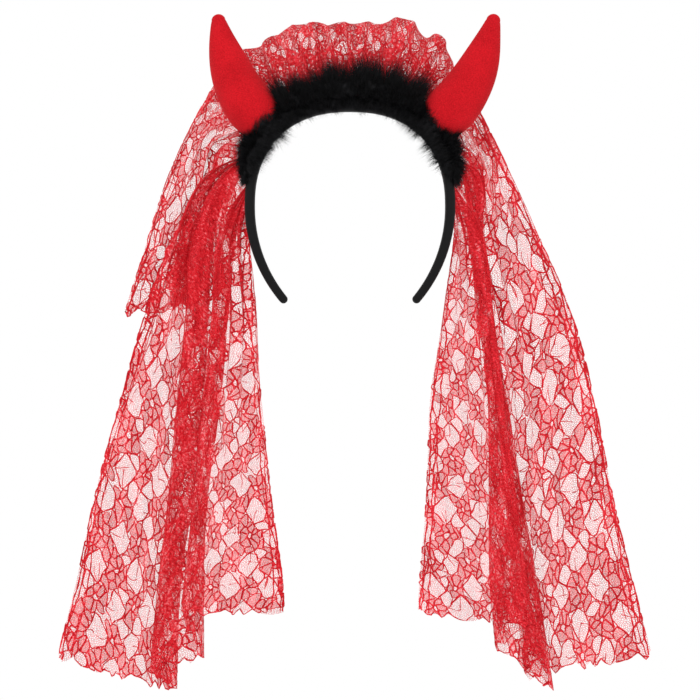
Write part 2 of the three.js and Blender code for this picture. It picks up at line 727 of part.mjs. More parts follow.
addPiece('head_band', headBand(), BAND_MATERIAL);
addPiece('fur_trim', furTrim(), FUR_MATERIAL);
for (const horn of HORNS) {
  addPiece(horn.name, stuffedHorn(horn), HORN_MATERIAL);
}
addPiece('veil_puff', veilPuff(), LACE_MATERIAL);
for (const sheet of SHEETS) {
  addPiece(sheet.name, veilDrop(sheet), LACE_MATERIAL);
}

export default group;
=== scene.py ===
"""Devil horns headband with a gathered lace veil: the finished surfaces, built round the frame.

Metres, +X to the right, +Y to the back, +Z up. The origin is the under face of the band's crown.
"""

import math

import bpy
import numpy as np
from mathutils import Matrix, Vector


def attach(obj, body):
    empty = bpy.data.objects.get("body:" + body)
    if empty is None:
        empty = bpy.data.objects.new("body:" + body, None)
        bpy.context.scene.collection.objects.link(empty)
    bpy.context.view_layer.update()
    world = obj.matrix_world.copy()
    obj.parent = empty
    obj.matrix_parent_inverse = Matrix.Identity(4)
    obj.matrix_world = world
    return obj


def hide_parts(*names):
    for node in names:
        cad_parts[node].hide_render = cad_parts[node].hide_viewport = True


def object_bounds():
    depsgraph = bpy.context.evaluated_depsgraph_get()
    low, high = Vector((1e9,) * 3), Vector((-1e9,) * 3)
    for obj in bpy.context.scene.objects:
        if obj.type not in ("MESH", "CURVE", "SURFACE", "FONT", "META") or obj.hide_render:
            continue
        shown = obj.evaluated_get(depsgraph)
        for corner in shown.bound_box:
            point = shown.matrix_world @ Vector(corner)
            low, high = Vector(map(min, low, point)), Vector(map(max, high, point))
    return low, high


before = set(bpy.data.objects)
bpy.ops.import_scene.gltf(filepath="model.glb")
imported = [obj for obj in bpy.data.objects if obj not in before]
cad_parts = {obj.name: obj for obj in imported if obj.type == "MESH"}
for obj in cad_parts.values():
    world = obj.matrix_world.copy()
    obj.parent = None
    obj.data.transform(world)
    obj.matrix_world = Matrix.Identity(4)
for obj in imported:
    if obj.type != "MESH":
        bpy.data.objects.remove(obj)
cad_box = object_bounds()

MM = 0.001

# Head band
BAND_HALF_WIDTH = 66.5 * MM
BAND_RISE = 65.9 * MM
BAND_SQUARENESS = 2.3
ARM_RADIUS = 96.8 * MM
ARM_DROP = 64 * MM
ARM_SWEEP = math.asin(ARM_DROP / ARM_RADIUS)
BAND_THICKNESS = 6.9 * MM
BAND_DEPTH = 11 * MM
TIP_THICKNESS = 5.6 * MM
TIP_DEPTH = 8 * MM
BAND_CORNER_POWER = 2.8
BAND_SIDES = 40
BAND_RINGS = 200
BAND_END_RINGS = 8
BAND_END_FROM = 0.12
ARM_STEPS = 60
CROWN_STEPS = 400
WIDEST_Z = BAND_THICKNESS / 2 - BAND_RISE

# Fur trim
GAP = 0.3 * MM
FUR_FROM_DEG = 9
FUR_TO_DEG = 171
FUR_BACKING = 2.4 * MM
FUR_REAR = BAND_DEPTH / 2 - GAP
FUR_HEIGHT = 30 * MM
FUR_AT_HORN = 9 * MM
NEAR_HORN_DEG = (8, 15)
FUR_REACH = 15 * MM
CORE_DEPTH = 16 * MM
CORE_FORWARD = 7 * MM
CORE_SHARES = (0.24, 0.42)
CORE_SIDE_DEG = (30, 60)
CORE_SIDES = 40
CORE_RINGS = 300
CORE_END_DEG = 6
CORE_FADE_DEG = (-2, 16)
CORE_LUMPS = ((0.06, 7, 1), (0.07, 3, 1.7))
FUR_FRONT = 27 * MM
APRON_REACH = 14 * MM
APRON_TURN_DEG = 38
STRAND_WIDTHS = (1, 0.8, 0.5)
STRAND_FACES = [[0, 3, 4], [0, 4, 1], [1, 4, 5], [1, 5, 2], [2, 5, 6]]
STRAND_WANDER = 0.45 * MM
STRAND_CLEARANCE = 0.5 * MM
STRAND_LEAN = 0.13
CREST_LEAN_DEG = (-6, 72)
CREST_LEAN_SPREAD_DEG = 8
CREST_POWER = 1.3
CREST_CURLS = ((1, 0.6), (1.15, 1.4))
CREST_LENGTHS = (0.62, 1.1)
CREST_SHORTEST = 1.2 * MM
CREST_STRETCH = 1.12
CREST_ROOTS = (-1 * MM, 2 * MM)
CREST_ACROSS = (4.6 * MM, -5 * MM)
APRON_START_DEG = (6, 25)
APRON_TURN_REACH_DEG = (4, 30)
APRON_DROOP = (0.78, 1.2)
APRON_LENGTHS = (0.5, 1.32)
APRON_RISE = (0.35, -0.55)
APRON_ASIDE = (0.7, 1.2)
APRON_FALL = 1.5
APRON_FORWARD = (0.3, 0.2)
APRON_ROOTS = (2.5 * MM, -1.5 * MM)
APRON_INSET = 0.6 * MM
END_LONGER = 3.4 * MM
END_FLATTER = 0.55
END_SWEEP_DEG = 22
RAGGED_DEG = 12
TUFT_DEG = 3.4
TUFT_SEED = 8
TUFT_SLANT = 3
TUFT_ROWS = 5
TUFT_STRIDE = 17
TUFT_TABLE = 4096
TUFT_LEAN = 0.8
TUFT_LENGTHS = (0.74, 1.16)
FUR_PROFILE = [
    (9, 0.03), (15, 0.18), (22, 0.3), (30, 0.44), (38, 0.68), (45, 0.9), (60, 0.98), (72, 0.86),
    (78, 0.98), (92, 0.96), (102, 0.86), (111, 0.66), (121, 0.85), (135, 0.8), (142, 0.6),
    (150, 0.42), (160, 0.22), (166, 0.09), (171, 0.03),
]

# Horns; a lump has a height, waves round the horn and up it, and a shift for each side
HORN_SEAT_DEG = 45
HORN_LENGTH = 78.6 * MM
HORN_RADIUS = 16.9 * MM
HORN_TIP_RADIUS = 4.8 * MM
HORN_TIP_CONE_DEG = 18
HORN_HANDLE = 36 * MM
HORN_DEPTH_SHARE = 0.84
HORN_FORWARD = 3 * MM
HORN_SADDLE = 1 * MM
HORN_TIP_FROM = 0.97
HORN_FOOT = 0.2
HORN_CURVE_STEPS = 400
HORN_PUSH_STEPS = 50
HORN_FROM_X = 20 * MM
HORN_FROM_Z = -60 * MM
PUSH_PAST_ENDS = 3 * MM
PUSH_LEAST_REACH = 0.2
HORN_SIDES = 64
HORN_RINGS = 90
HORN_TIP_RINGS = 12
HORN_LUMPS = [(0.35 * MM, 3, 1.1, 1), (0.2 * MM, 2, -2.3, 0)]
LUMP_RADII = (2 * MM, 9 * MM)
HORN_PROFILE = [
    (0, 0.66), (0.085, 0.88), (0.19, 1), (0.32, 0.99), (0.47, 0.9), (0.66, 0.72), (0.8, 0.55),
    (0.9, 0.415), (0.97, 0.313), (1, 0.27),
]
HORNS = [
    {"name": "horn_left", "side": -1, "turn": 19, "start_turn": -6, "stretch": 1},
    {"name": "horn_right", "side": 1, "turn": 14, "start_turn": -11, "stretch": 1.05},
]

# Lace veil
LACE_WALL = 1.1 * MM
PUFF_HEIGHT = 59.5 * MM
PUFF_DEPTH = 32 * MM
PUFF_RUFFLE = 3.2 * MM
PUFF_RUFFLES = 5
PUFF_FABRIC_WIDTH = 245 * MM
PUFF_PATTERN_SCALE = 0.62
SHORT_PATTERN_SCALE = 0.8
PUFF_FROM_DEG = 52
PUFF_TO_DEG = 128
VEIL_FALL = 394 * MM
VEIL_SPREAD_LEFT = 202 * MM
VEIL_SPREAD_RIGHT = 208 * MM
VEIL_DEPTH = 46 * MM
DRAPE_WAVE = 3.5 * MM
DRAPE_LENGTH = 170 * MM
DRAPE_SLANT = 1.6
SWAY_DEPTH = 1.2 * MM
SWAY_PITCH = 57 * MM
SWAY_SLANT = 6
SWAY_DOWN = (0.1, 0.5)
FALL_BACK = 0.46
FALL_BACK_DOWN = (-0.1, 0.4)
SEAM_STEP_DEG = (12, 20)
SEAM_CLEARANCE = 3 * GAP
HEM_EASE = 1.06
RAIL_CLEAR_DROP = 4 * MM
RAIL_CLEAR_SHARE = 0.03
CURVE_PIECE_STEPS = 40
CURVE_SAMPLES = 300
FOLD_ROUNDING = 0.7
EDGE_ROUNDING = 0.4
SEAM_SHARE = 0.62
SHORT_SEAM_SHARE = 0.9
GATHER_PITCH = 19 * MM
GATHER_ASIDE = 2.4 * MM
GATHER_DEPTH = 1.7 * MM
GATHER_FADE = (0.15, 0.85)
GATHER_START = (0, 0.06)
GATHER_WANDER = (1.1, 11, 30)
GATHER_SWELL = (0.7, 0.5, 75, 4)
PUFF_WANDER = (1.3, 7, 40)
PUFF_SWELL = (0.75, 0.4, 0.43, 1)
PUFF_GATHER_DEG = 2.6
PUFF_GATHER_START = (0, 0.08)
PUFF_GATHER_FADE = 0.82
PUFF_GATHER_RISE = (0.3, 1)
PUFF_GATHER_SIDE = (0.4, 0.5)
PUFF_RUFFLE_SLANT = 0.35
PUFF_RIDGE_SHARE = 0.3
PUFF_REAR = 6 * MM
PUFF_REAR_CALM = 0.4
PUFF_SECTION_STEPS = 200

PUFF_RIDGE = [
    (52, 0.78), (56, 0.9), (59, 1), (63, 1.07), (67.5, 1), (72, 1.12), (81, 1.03), (97, 1.01),
    (105, 1.05), (113, 1.01), (120, 0.98), (124, 1.03), (128, 0.98),
]

# Shares of the puff's loop, of its height and of its depth
PUFF_SECTION = [
    (0, 0, 0), (0.14, 0.3, 0.07), (0.3, 0.68, 0.2), (0.42, 0.94, 0.36), (0.5, 1, 0.52),
    (0.6, 0.9, 0.74), (0.74, 0.58, 0.96), (0.87, 0.26, 0.8), (1, 0.05, 0.22),
]

# Folds and edges of each sheet, from the outer side inwards. A section says how far down it lies,
# as a share of the veil's fall, and how far out each of them is there, as a share of the spread.
FOLD_COLUMNS = ("deg", "rise", "hem", "depth")
LEFT_FOLDS = [
    (146, 0, 0.947, 1),
    (150, 0, 1, 0.86),
    (155, 0, 0.96, 0.72),
    (160, 0, 0.935, 0.58),
    (165, 0, 0.857, 0.44),
    (171, 0, 0.85, 0.3),
]
RIGHT_FOLDS = [
    (50, 0.78, 0.94, 1),
    (40, 0, 0.972, 0.86),
    (33, 0, 0.992, 0.72),
    (26, 0, 0.916, 0.58),
    (18, 0, 0.88, 0.44),
    (9, 0, 0.853, 0.3),
]
SHORT_FOLDS = [
    (130, 1, 0.345, 1.3),
    (134, 0, 0.33, 1.23),
    (138, 0, 0.325, 1.16),
    (142, 0, 0.32, 1.09),
]
LEFT_SECTIONS = [
    (0.1, 0.49, 0.4, 0.42, 0.355, 0.37, 0.346),
    (0.2, 0.605, 0.46, 0.53, 0.382, 0.43, 0.342),
    (0.35, 0.7, 0.484, 0.56, 0.411, 0.467, 0.313),
    (0.5, 0.795, 0.5, 0.587, 0.443, 0.496, 0.291),
    (0.65, 0.866, 0.527, 0.615, 0.475, 0.525, 0.262),
    (0.8, 0.932, 0.572, 0.648, 0.491, 0.557, 0.222),
    (1, 1.025, 0.586, 0.685, 0.486, 0.6, 0.21),
]
RIGHT_SECTIONS = [
    (0.1, 0.518, 0.4, 0.42, 0.37, 0.385, 0.335),
    (0.2, 0.615, 0.4, 0.437, 0.39, 0.425, 0.338),
    (0.35, 0.737, 0.435, 0.472, 0.425, 0.466, 0.298),
    (0.5, 0.814, 0.478, 0.515, 0.447, 0.495, 0.262),
    (0.65, 0.869, 0.508, 0.562, 0.452, 0.54, 0.247),
    (0.8, 0.933, 0.537, 0.615, 0.454, 0.578, 0.223),
    (1, 1.03, 0.58, 0.672, 0.485, 0.66, 0.205),
]
SHORT_SECTIONS = [
    (-0.04, 0.485, 0.33, 0.36, 0.3),
    (0.05, 0.575, 0.43, 0.48, 0.4),
    (0.15, 0.655, 0.47, 0.55, 0.42),
    (0.25, 0.72, 0.5, 0.6, 0.43),
    (0.345, 0.785, 0.53, 0.63, 0.45),
]

# Colours, from dark to bright
BAND_TONES = [(0.3, (0.002, 0.002, 0.0022)), (0.75, (0.005, 0.005, 0.0055))]
# Fur: random lighter tufts, partly painted highlight on the strands
FUR_TONES_AND_HIGHLIGHTS = [(0.38, (0.001, 0.001, 0.0012)), (0.68, (0.014, 0.014, 0.016))]
PLUSH_TONES = [(0.36, (0.38, 0.002, 0.006)), (0.62, (0.6, 0.006, 0.013))]
FLOOR_TONES = [(0.2, (0.86, 0.86, 0.86)), (0.8, (0.9, 0.9, 0.9))]
# The dark ends of the thread and cord tones are painted shade of folds, laid on as long streaks
THREAD_TONES_AND_FOLD_SHADE = [
    (0.38, (0.42, 0.004, 0.01)), (0.5, (0.64, 0.01, 0.018)), (0.58, (0.8, 0.04, 0.055)),
    (0.66, (0.9, 0.3, 0.33)),
]
CORD_TONES_AND_FOLD_SHADE = [(0.36, (0.32, 0.002, 0.005)), (0.5, (0.5, 0.005, 0.012)), (0.64, (0.74, 0.03, 0.045))]

# Sheen, and a faint painted glow on the thin dyed thread, standing in for light that passes through it
# from behind
PLUSH_SHEEN = {"sheen_weight": 0.08, "sheen_roughness": 0.45, "sheen_tint": (1, 0.2, 0.2, 1)}
CORD_SHEEN = {"sheen_weight": 0.1, "sheen_tint": (1, 0.4, 0.4, 1)}
THREAD_SPECULAR_AND_PAINTED_GLOW = {
    "specular_ior_level": 0.15,
    "emission_color": (1, 0.008, 0.02, 1),
    "emission_strength": 0.06,
}

# The net's open mesh, and the petals' close stitching
NET_CLOTH = {
    "scale": 900, "drawn_up": 0.27, "opening": (0.06, 0.19), "alpha": (0.8, 0), "roughness": 0.8,
}
PETAL_CLOTH = {
    "scale": 1700, "drawn_up": 0.12, "opening": (0.04, 0.3), "alpha": (0.82, 0.14), "roughness": 0.75,
}

# How far each sheet's dense gathered heading reaches down it
HEADINGS = {
    "veil_drop_left": 42 * MM,
    "veil_drop_right": 70 * MM,
    "veil_short_layer": 42 * MM,
    "veil_puff": 36 * MM,
}
HEADING_FADE = 0.6
FOLD_SHADE_STREAK_SCALE = (1, 0.16, 1)
LACE_LAYERS = 96

# Lace pattern: one repeat, as a mosaic of windows, flowers and leaves
REPEAT_SEED = 21
REPEAT_WIDTH = 54 * MM
REPEAT_HEIGHT = 82 * MM
CELL_STRETCH = 1.5
PERIOD = np.array([REPEAT_WIDTH, REPEAT_HEIGHT / CELL_STRETCH])
WINDOW_ROWS = 4
WINDOW_COLUMNS = 2
WINDOW_REACH = (5.6 * MM, 8 * MM)
WINDOW_SHIFT = 1.4 * MM
WINDOW_POWER = 1.2
WINDOW_FACING = 7
WINDOW_ROUNDING = 0.16
MEDIUM_WINDOWS = 8
MEDIUM_REACH = (2.4 * MM, 3.3 * MM)
MEDIUM_PITCH = 7 * MM
MEDIUM_CLEARANCE = 2.6 * MM
FLOWER_PETALS = 7
FLOWER_REACH = 6.4 * MM
FLOWER_SHIFT = 0.8 * MM
FLOWER_EYE = 0.9 * MM
PETAL_REACH = 1.9 * MM
PETAL_TURN = 0.15
PETAL_PLACES = (0.56, 0.68)
PETAL_CLEARANCE = 1 * MM
LEAF_PITCH = 4.3 * MM
LEAF_REACH = 1.6 * MM
LEAF_SIZES = (0.6, 1.25)
LEAF_SHIFT = 0.36
LEAF_CLEARANCE = 1.5 * MM
LEAF_AT_MEDIUM = 1.4 * MM
LEAF_KEPT = 0.6
OPEN_SHARE = 0.2
CELL_ROUNDING = 0.24
CELL_MARGIN = 12 * MM
NEIGHBOURS = 70
WARP = 1.1 * MM
WARP_PITCH = 9 * MM
WARP_SWAY = 1.3
WARP_FINE = 0.5
WARP_ACROSS = (2.1, 1.7, 5.3, 3.1)
WARP_DOWN = (1.9, 2.3, 4.7, -2.9)
CORD_SEED = 5
CORD_WIDTH = 0.8 * MM
CORD_WIDTHS = (0.6, 1.45)
CORD_INSET = 0.16 * MM
VEIN_WIDTH = 0.6 * CORD_WIDTH
VEINS = 2
VEIN_STEPS = 6
VEIN_SPREAD = 2.5 * MM
VEIN_BOW = 2 * MM
BORDER_INSETS = (0.5 * MM, 2.5 * MM, 5 * MM)
BORDER_STEP = 3 * MM
BORDER_SPREAD = 0.5 * MM
BORDER_WANDER = 0.7
HEM_NOTCH = 5.5 * MM
HEM_NOTCH_PITCH = 13 * MM
NOTCH_UNEVEN = 0.4
NOTCH_UNEVEN_RATE = 2.3
NET_CELL = (2.6 * MM, 4 * MM)
PETAL_LIFT = 0.05 * MM
CORD_LIFT = 0.12 * MM
NORMAL_STEP = 0.4 * MM
TINY = 1e-12

# Camera and surroundings
CAMERA_DISTANCE = 1.2
CAMERA_HEIGHT = -158 * MM
CAMERA_LENS = 93
FLOOR_DROP = 0.36
FLOOR_RADIUS = 1.7
FLOOR_SIDES = 96
LIGHT_TARGET = (0, 0, -0.1)
LIGHT_SIZE = 0.9
LIGHTS = (("key", (-0.7, -1.3, 0.9), 7), ("fill", (0.9, -1.1, 0.2), 3))


# Small tools


def smoothstep(value, low, high):
    share = np.clip((value - low) / (high - low), 0, 1)
    return share * share * (3 - 2 * share)


def mixed(start, end, share):
    return start + (end - start) * share


def curve_through(rows, at):
    """A smooth value from (place, value) rows, with no kink at a row."""
    places, values = (np.array(column, float) for column in zip(*rows))
    slopes = np.gradient(values, places)
    at = np.clip(at, places[0], places[-1])
    k = np.clip(np.searchsorted(places, at) - 1, 0, len(places) - 2)
    step = places[k + 1] - places[k]
    t = (at - places[k]) / step
    start = (1 + 2 * t) * (1 - t) ** 2 * values[k] + t * (1 - t) ** 2 * step * slopes[k]
    end = t * t * (3 - 2 * t) * values[k + 1] + t * t * (t - 1) * step * slopes[k + 1]
    return start + end


def signed_power(value, power):
    return np.sign(value) * np.abs(value) ** power


def normalized(vectors):
    return vectors / np.linalg.norm(vectors, axis=-1, keepdims=True)


def length_along(path):
    """How far along a path each of its points lies."""
    steps = np.linalg.norm(np.diff(path, axis=0), axis=1)
    return np.concatenate([[0], np.cumsum(steps)])


def resampled(rows, length, at):
    """Rows between those given along a path, at new distances along it."""
    return np.stack([np.interp(at, length, column) for column in rows.T], -1)


def mesh_object(name, points, faces, material, smooth=True):
    mesh = bpy.data.meshes.new(name)
    mesh.from_pydata(np.asarray(points, float).tolist(), [], faces)
    mesh.materials.append(material)
    mesh.polygons.foreach_set("use_smooth", [smooth] * len(mesh.polygons))
    mesh.update()
    piece = bpy.data.objects.new(name, mesh)
    bpy.context.scene.collection.objects.link(piece)
    return piece


def add_uv(piece, uv):
    """A UV layer in metres of flat fabric, from one pair for each vertex."""
    mesh = piece.data
    layer = mesh.uv_layers.new(name="fabric")
    corner = np.empty(len(mesh.loops), dtype=np.int32)
    mesh.loops.foreach_get("vertex_index", corner)
    layer.data.foreach_set("uv", np.asarray(uv, float)[corner].ravel())


def loft_faces(rings, sides):
    """Quads between rings of points, and a fan at each end to two more points."""
    ring = np.arange(rings - 1)[:, None] * sides
    k = np.arange(sides)[None, :]
    following = (k + 1) % sides
    quads = np.stack([ring + k, ring + following, ring + following + sides, ring + k + sides], -1)
    faces = quads.reshape(-1, 4).tolist()
    start = rings * sides
    last = (rings - 1) * sides
    for side in range(sides):
        after = (side + 1) % sides
        faces.append([start, after, side])
        faces.append([start + 1, last + side, last + after])
    return faces


def loft_object(name, rings, start, end, material):
    points = np.concatenate([rings.reshape(-1, 3), [start], [end]])
    return mesh_object(name, points, loft_faces(*rings.shape[:2]), material)


# The arch of the band


def arch_point(deg):
    angle = np.radians(np.asarray(deg, float))
    x = BAND_HALF_WIDTH * signed_power(np.cos(angle), 2 / BAND_SQUARENESS)
    z = WIDEST_Z + BAND_RISE * signed_power(np.sin(angle), 2 / BAND_SQUARENESS)
    return np.stack([x, np.zeros_like(x), z], -1)


def arch_outward(deg):
    point = arch_point(deg)
    power = BAND_SQUARENESS - 1
    x = signed_power(point[..., 0] / BAND_HALF_WIDTH, power) / BAND_HALF_WIDTH
    z = signed_power((point[..., 2] - WIDEST_Z) / BAND_RISE, power) / BAND_RISE
    return normalized(np.stack([x, np.zeros_like(x), z], -1))


def arch_offset(deg, outward, rearward):
    deg, outward, rearward = np.broadcast_arrays(deg, outward, rearward)
    point = arch_point(deg) + arch_outward(deg) * outward[..., None]
    point[..., 1] += rearward
    return point


# Materials


class Shader:
    """A Principled material and the few nodes that the materials here are made of."""

    def __init__(self, name, **sockets):
        self.material = bpy.data.materials.new(name)
        self.material.use_nodes = True
        self.tree = self.material.node_tree
        self.principled = self.tree.nodes["Principled BSDF"]
        for key, value in sockets.items():
            socket = key.replace("_", " ").title().replace("Ior", "IOR")
            self.principled.inputs[socket].default_value = value

    def node(self, kind, **settings):
        node = self.tree.nodes.new(kind)
        for name, value in settings.items():
            setattr(node, name, value)
        return node

    def link(self, output, target):
        self.tree.links.new(output, target)

    def place(self):
        return self.node("ShaderNodeTexCoord").outputs["Object"]

    def fabric_place(self):
        return self.node("ShaderNodeUVMap", uv_map="fabric").outputs["UV"]

    def noise(self, place, scale, detail):
        node = self.node("ShaderNodeTexNoise")
        node.inputs["Scale"].default_value = scale
        node.inputs["Detail"].default_value = detail
        self.link(place, node.inputs["Vector"])
        return node.outputs["Fac"]

    def cells(self, place, scale, feature="DISTANCE_TO_EDGE", dimensions="2D"):
        node = self.node("ShaderNodeTexVoronoi", feature=feature, voronoi_dimensions=dimensions)
        node.inputs["Scale"].default_value = scale
        self.link(place, node.inputs["Vector"])
        return node.outputs["Distance"]

    def math(self, operation, a, b):
        node = self.node("ShaderNodeMath", operation=operation)
        for socket, value in zip(node.inputs, (a, b)):
            if isinstance(value, (int, float)):
                socket.default_value = value
            else:
                self.link(value, socket)
        return node.outputs["Value"]

    def plus(self, a, b, times):
        """One value and a number of times another."""
        return self.math("ADD", a, self.math("MULTIPLY", b, times))

    def blend(self, a, b, share):
        """Two values mixed, with this share of the second."""
        return self.plus(self.math("MULTIPLY", a, 1 - share), b, share)

    def ramp(self, value, stops):
        node = self.node("ShaderNodeValToRGB")
        elements = node.color_ramp.elements
        while len(elements) < len(stops):
            elements.new(0.5)
        for element, (position, colour) in zip(elements, stops):
            element.position = position
            element.color = (*colour, 1)
        self.link(value, node.inputs["Fac"])
        return node.outputs["Color"]

    def range(self, value, source, target):
        """The value, with a source range of (low, high) moved to a target range."""
        node = self.node("ShaderNodeMapRange")
        for name, (low, high) in (("From", source), ("To", target)):
            node.inputs[f"{name} Min"].default_value = low
            node.inputs[f"{name} Max"].default_value = high
        self.link(value, node.inputs["Value"])
        return node.outputs["Result"]

    def fold_shade_and_thread_tone(self, place):
        """Long soft dark streaks down the fabric, painted shade of its folds, with fine specks of single
        threads over them.
        """
        mapping = self.node("ShaderNodeMapping")
        mapping.inputs["Scale"].default_value = FOLD_SHADE_STREAK_SCALE
        self.link(place, mapping.inputs["Vector"])
        # Painted fold shade, as long streaks down the fabric
        painted_fold_streaks = self.noise(mapping.outputs["Vector"], scale=170, detail=2)
        specks = self.noise(place, scale=620, detail=2)
        return self.blend(painted_fold_streaks, specks, share=0.55)

    def gathered_dense(self, place, heading):
        """One at the seam edge of gathered lace, uneven and specked, and nothing past the heading."""
        split = self.node("ShaderNodeSeparateXYZ")
        self.link(place, split.inputs["Vector"])
        lobes = self.noise(place, scale=38, detail=1)
        reach = self.plus(split.outputs["Y"], lobes, times=-heading)
        fade = self.range(reach, source=(0, heading * HEADING_FADE), target=(1, 0))
        specks = self.noise(place, scale=300, detail=4)
        return self.math("MULTIPLY", fade, self.range(specks, source=(0.42, 0.5), target=(0.1, 1)))

    def feed(self, socket, output):
        self.link(output, self.principled.inputs[socket])

    def bump(self, height, distance, strength):
        node = self.node("ShaderNodeBump")
        node.inputs["Distance"].default_value = distance
        node.inputs["Strength"].default_value = strength
        self.link(height, node.inputs["Height"])
        self.feed("Normal", node.outputs["Normal"])


def band_material():
    shader = Shader("band_cover", specular_ior_level=0.14)
    place = shader.place()
    cloth = shader.noise(place, scale=260, detail=2)
    weave = shader.cells(place, scale=2600, feature="F1", dimensions="3D")
    shader.feed("Base Color", shader.ramp(cloth, BAND_TONES))
    shader.feed("Roughness", shader.range(cloth, source=(0.3, 0.7), target=(0.5, 0.68)))
    shader.bump(shader.plus(weave, cloth, times=0.6), distance=0.12 * MM, strength=0.6)
    return shader.material


def fur_material():
    shader = Shader("fur", roughness=0.75, specular_ior_level=0.2)
    tuft = shader.noise(shader.place(), scale=320, detail=4)
    # Random lighter tufts, partly painted highlight on the strands
    shader.feed("Base Color", shader.ramp(tuft, FUR_TONES_AND_HIGHLIGHTS))
    shader.bump(tuft, distance=0.2 * MM, strength=0.5)
    return shader.material


def plush_material():
    shader = Shader("horn_plush", roughness=0.9, specular_ior_level=0.15, **PLUSH_SHEEN)
    place = shader.place()
    mottle = shader.noise(place, scale=55, detail=4)
    pile = shader.noise(place, scale=1500, detail=2)
    shader.feed("Base Color", shader.ramp(shader.blend(mottle, pile, share=0.7), PLUSH_TONES))
    shader.bump(pile, distance=0.35 * MM, strength=0.8)
    return shader.material


def lace_material(name, heading, scale, drawn_up, opening, alpha, roughness):
    """Fine threads with open or close gaps, drawn up dense over the first part of the fabric."""
    # The thread carries a faint painted glow, standing in for light passing through it
    shader = Shader(name, roughness=roughness, **THREAD_SPECULAR_AND_PAINTED_GLOW)
    place = shader.fabric_place()
    thread = shader.cells(place, scale)
    gap = shader.plus(thread, shader.gathered_dense(place, heading), times=-drawn_up)
    # Colour with painted fold shade in its dark streaks
    shader.feed("Base Color", shader.ramp(shader.fold_shade_and_thread_tone(place), THREAD_TONES_AND_FOLD_SHADE))
    shader.feed("Alpha", shader.range(gap, source=opening, target=alpha))
    return shader.material


def cord_material():
    # The cord carries a faint painted glow, standing in for light passing through it
    shader = Shader("lace_cord", roughness=0.6, **CORD_SHEEN, **THREAD_SPECULAR_AND_PAINTED_GLOW)
    place = shader.fabric_place()
    # Colour with painted fold shade in its dark streaks
    shader.feed("Base Color", shader.ramp(shader.fold_shade_and_thread_tone(place), CORD_TONES_AND_FOLD_SHADE))
    shader.bump(shader.noise(place, scale=700, detail=2), distance=0.15 * MM, strength=0.6)
    return shader.material


def floor_material():
    shader = Shader("floor", roughness=0.9)
    shader.feed("Base Color", shader.ramp(shader.noise(shader.place(), scale=3, detail=2), FLOOR_TONES))
    return shader.material


# Head band


def band_centreline():
    arm = np.linspace(ARM_SWEEP, 0, ARM_STEPS)
    x = BAND_HALF_WIDTH - ARM_RADIUS * (1 - np.cos(arm))
    right = np.stack([x, np.zeros_like(x), WIDEST_Z - ARM_RADIUS * np.sin(arm)], -1)
    crown = arch_point(np.linspace(180, 0, CROWN_STEPS)[1:-1])
    path = np.concatenate([right * (-1, 1, 1), crown, right[::-1]])
    length = length_along(path)
    rounding = np.linspace(BAND_END_FROM, 1, BAND_END_RINGS) * math.pi / 2
    ends = TIP_THICKNESS / 2 * (1 - np.cos(rounding))
    middle = np.linspace(ends[-1], length[-1] - ends[-1], BAND_RINGS)[1:-1]
    places = np.concatenate([ends, middle, length[-1] - ends[::-1]])
    return resampled(path, length, places), places, length[-1], path


def head_band(material):
    line, places, total, path = band_centreline()
    along = normalized(np.gradient(line, axis=0))
    outward = normalized(np.cross(along, (0, 1, 0)))
    from_tip = np.minimum(places, total - places)
    taper = np.minimum(from_tip / (ARM_RADIUS * ARM_SWEEP), 1)
    round_end = np.sqrt(1 - (1 - np.minimum(from_tip / (TIP_THICKNESS / 2), 1)) ** 2)
    thickness = mixed(TIP_THICKNESS, BAND_THICKNESS, taper) / 2 * round_end
    depth = mixed(TIP_DEPTH, BAND_DEPTH, taper) / 2 * round_end
    angle = -2 * math.pi * (np.arange(BAND_SIDES) + 0.5) / BAND_SIDES
    across = signed_power(np.cos(angle), 2 / BAND_CORNER_POWER)
    rear = signed_power(np.sin(angle), 2 / BAND_CORNER_POWER)
    rings = line[:, None] + outward[:, None] * (across * thickness[:, None])[..., None]
    rings[..., 1] += rear * depth[:, None]
    band = loft_object("band_cover", rings, path[0], path[-1], material)
    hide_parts("head_band")
    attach(band, "root")


# Horns


def horn_axis(horn, places):
    side = horn["side"]
    deg = HORN_SEAT_DEG if side > 0 else 180 - HORN_SEAT_DEG
    outward = arch_outward(deg)
    seat = BAND_THICKNESS / 2 + GAP + FUR_BACKING + GAP - HORN_SADDLE
    start = arch_offset(deg, seat, -HORN_FORWARD)

    def turned(angle):
        turn = math.radians(-side * angle)
        x = outward[0] * math.cos(turn) + outward[2] * math.sin(turn)
        return np.array([x, 0, outward[2] * math.cos(turn) - outward[0] * math.sin(turn)])

    handle = start + turned(horn["start_turn"]) * HORN_HANDLE * horn["stretch"]
    tip = start + turned(horn["turn"]) * HORN_LENGTH * horn["stretch"]
    t = np.linspace(0, 1, HORN_CURVE_STEPS)[:, None]
    curve = (1 - t) ** 2 * start + 2 * t * (1 - t) * handle + t * t * tip
    length = length_along(curve)
    at = np.asarray(places) * length[-1]
    along = normalized(resampled(np.gradient(curve, axis=0), length, at))
    return resampled(curve, length, at), along


def horn_radius(places):
    body = HORN_RADIUS * curve_through(HORN_PROFILE, places)
    tip = HORN_TIP_RADIUS * math.cos(math.radians(HORN_TIP_CONE_DEG))
    return mixed(body, tip, smoothstep(places, HORN_TIP_FROM, 1))


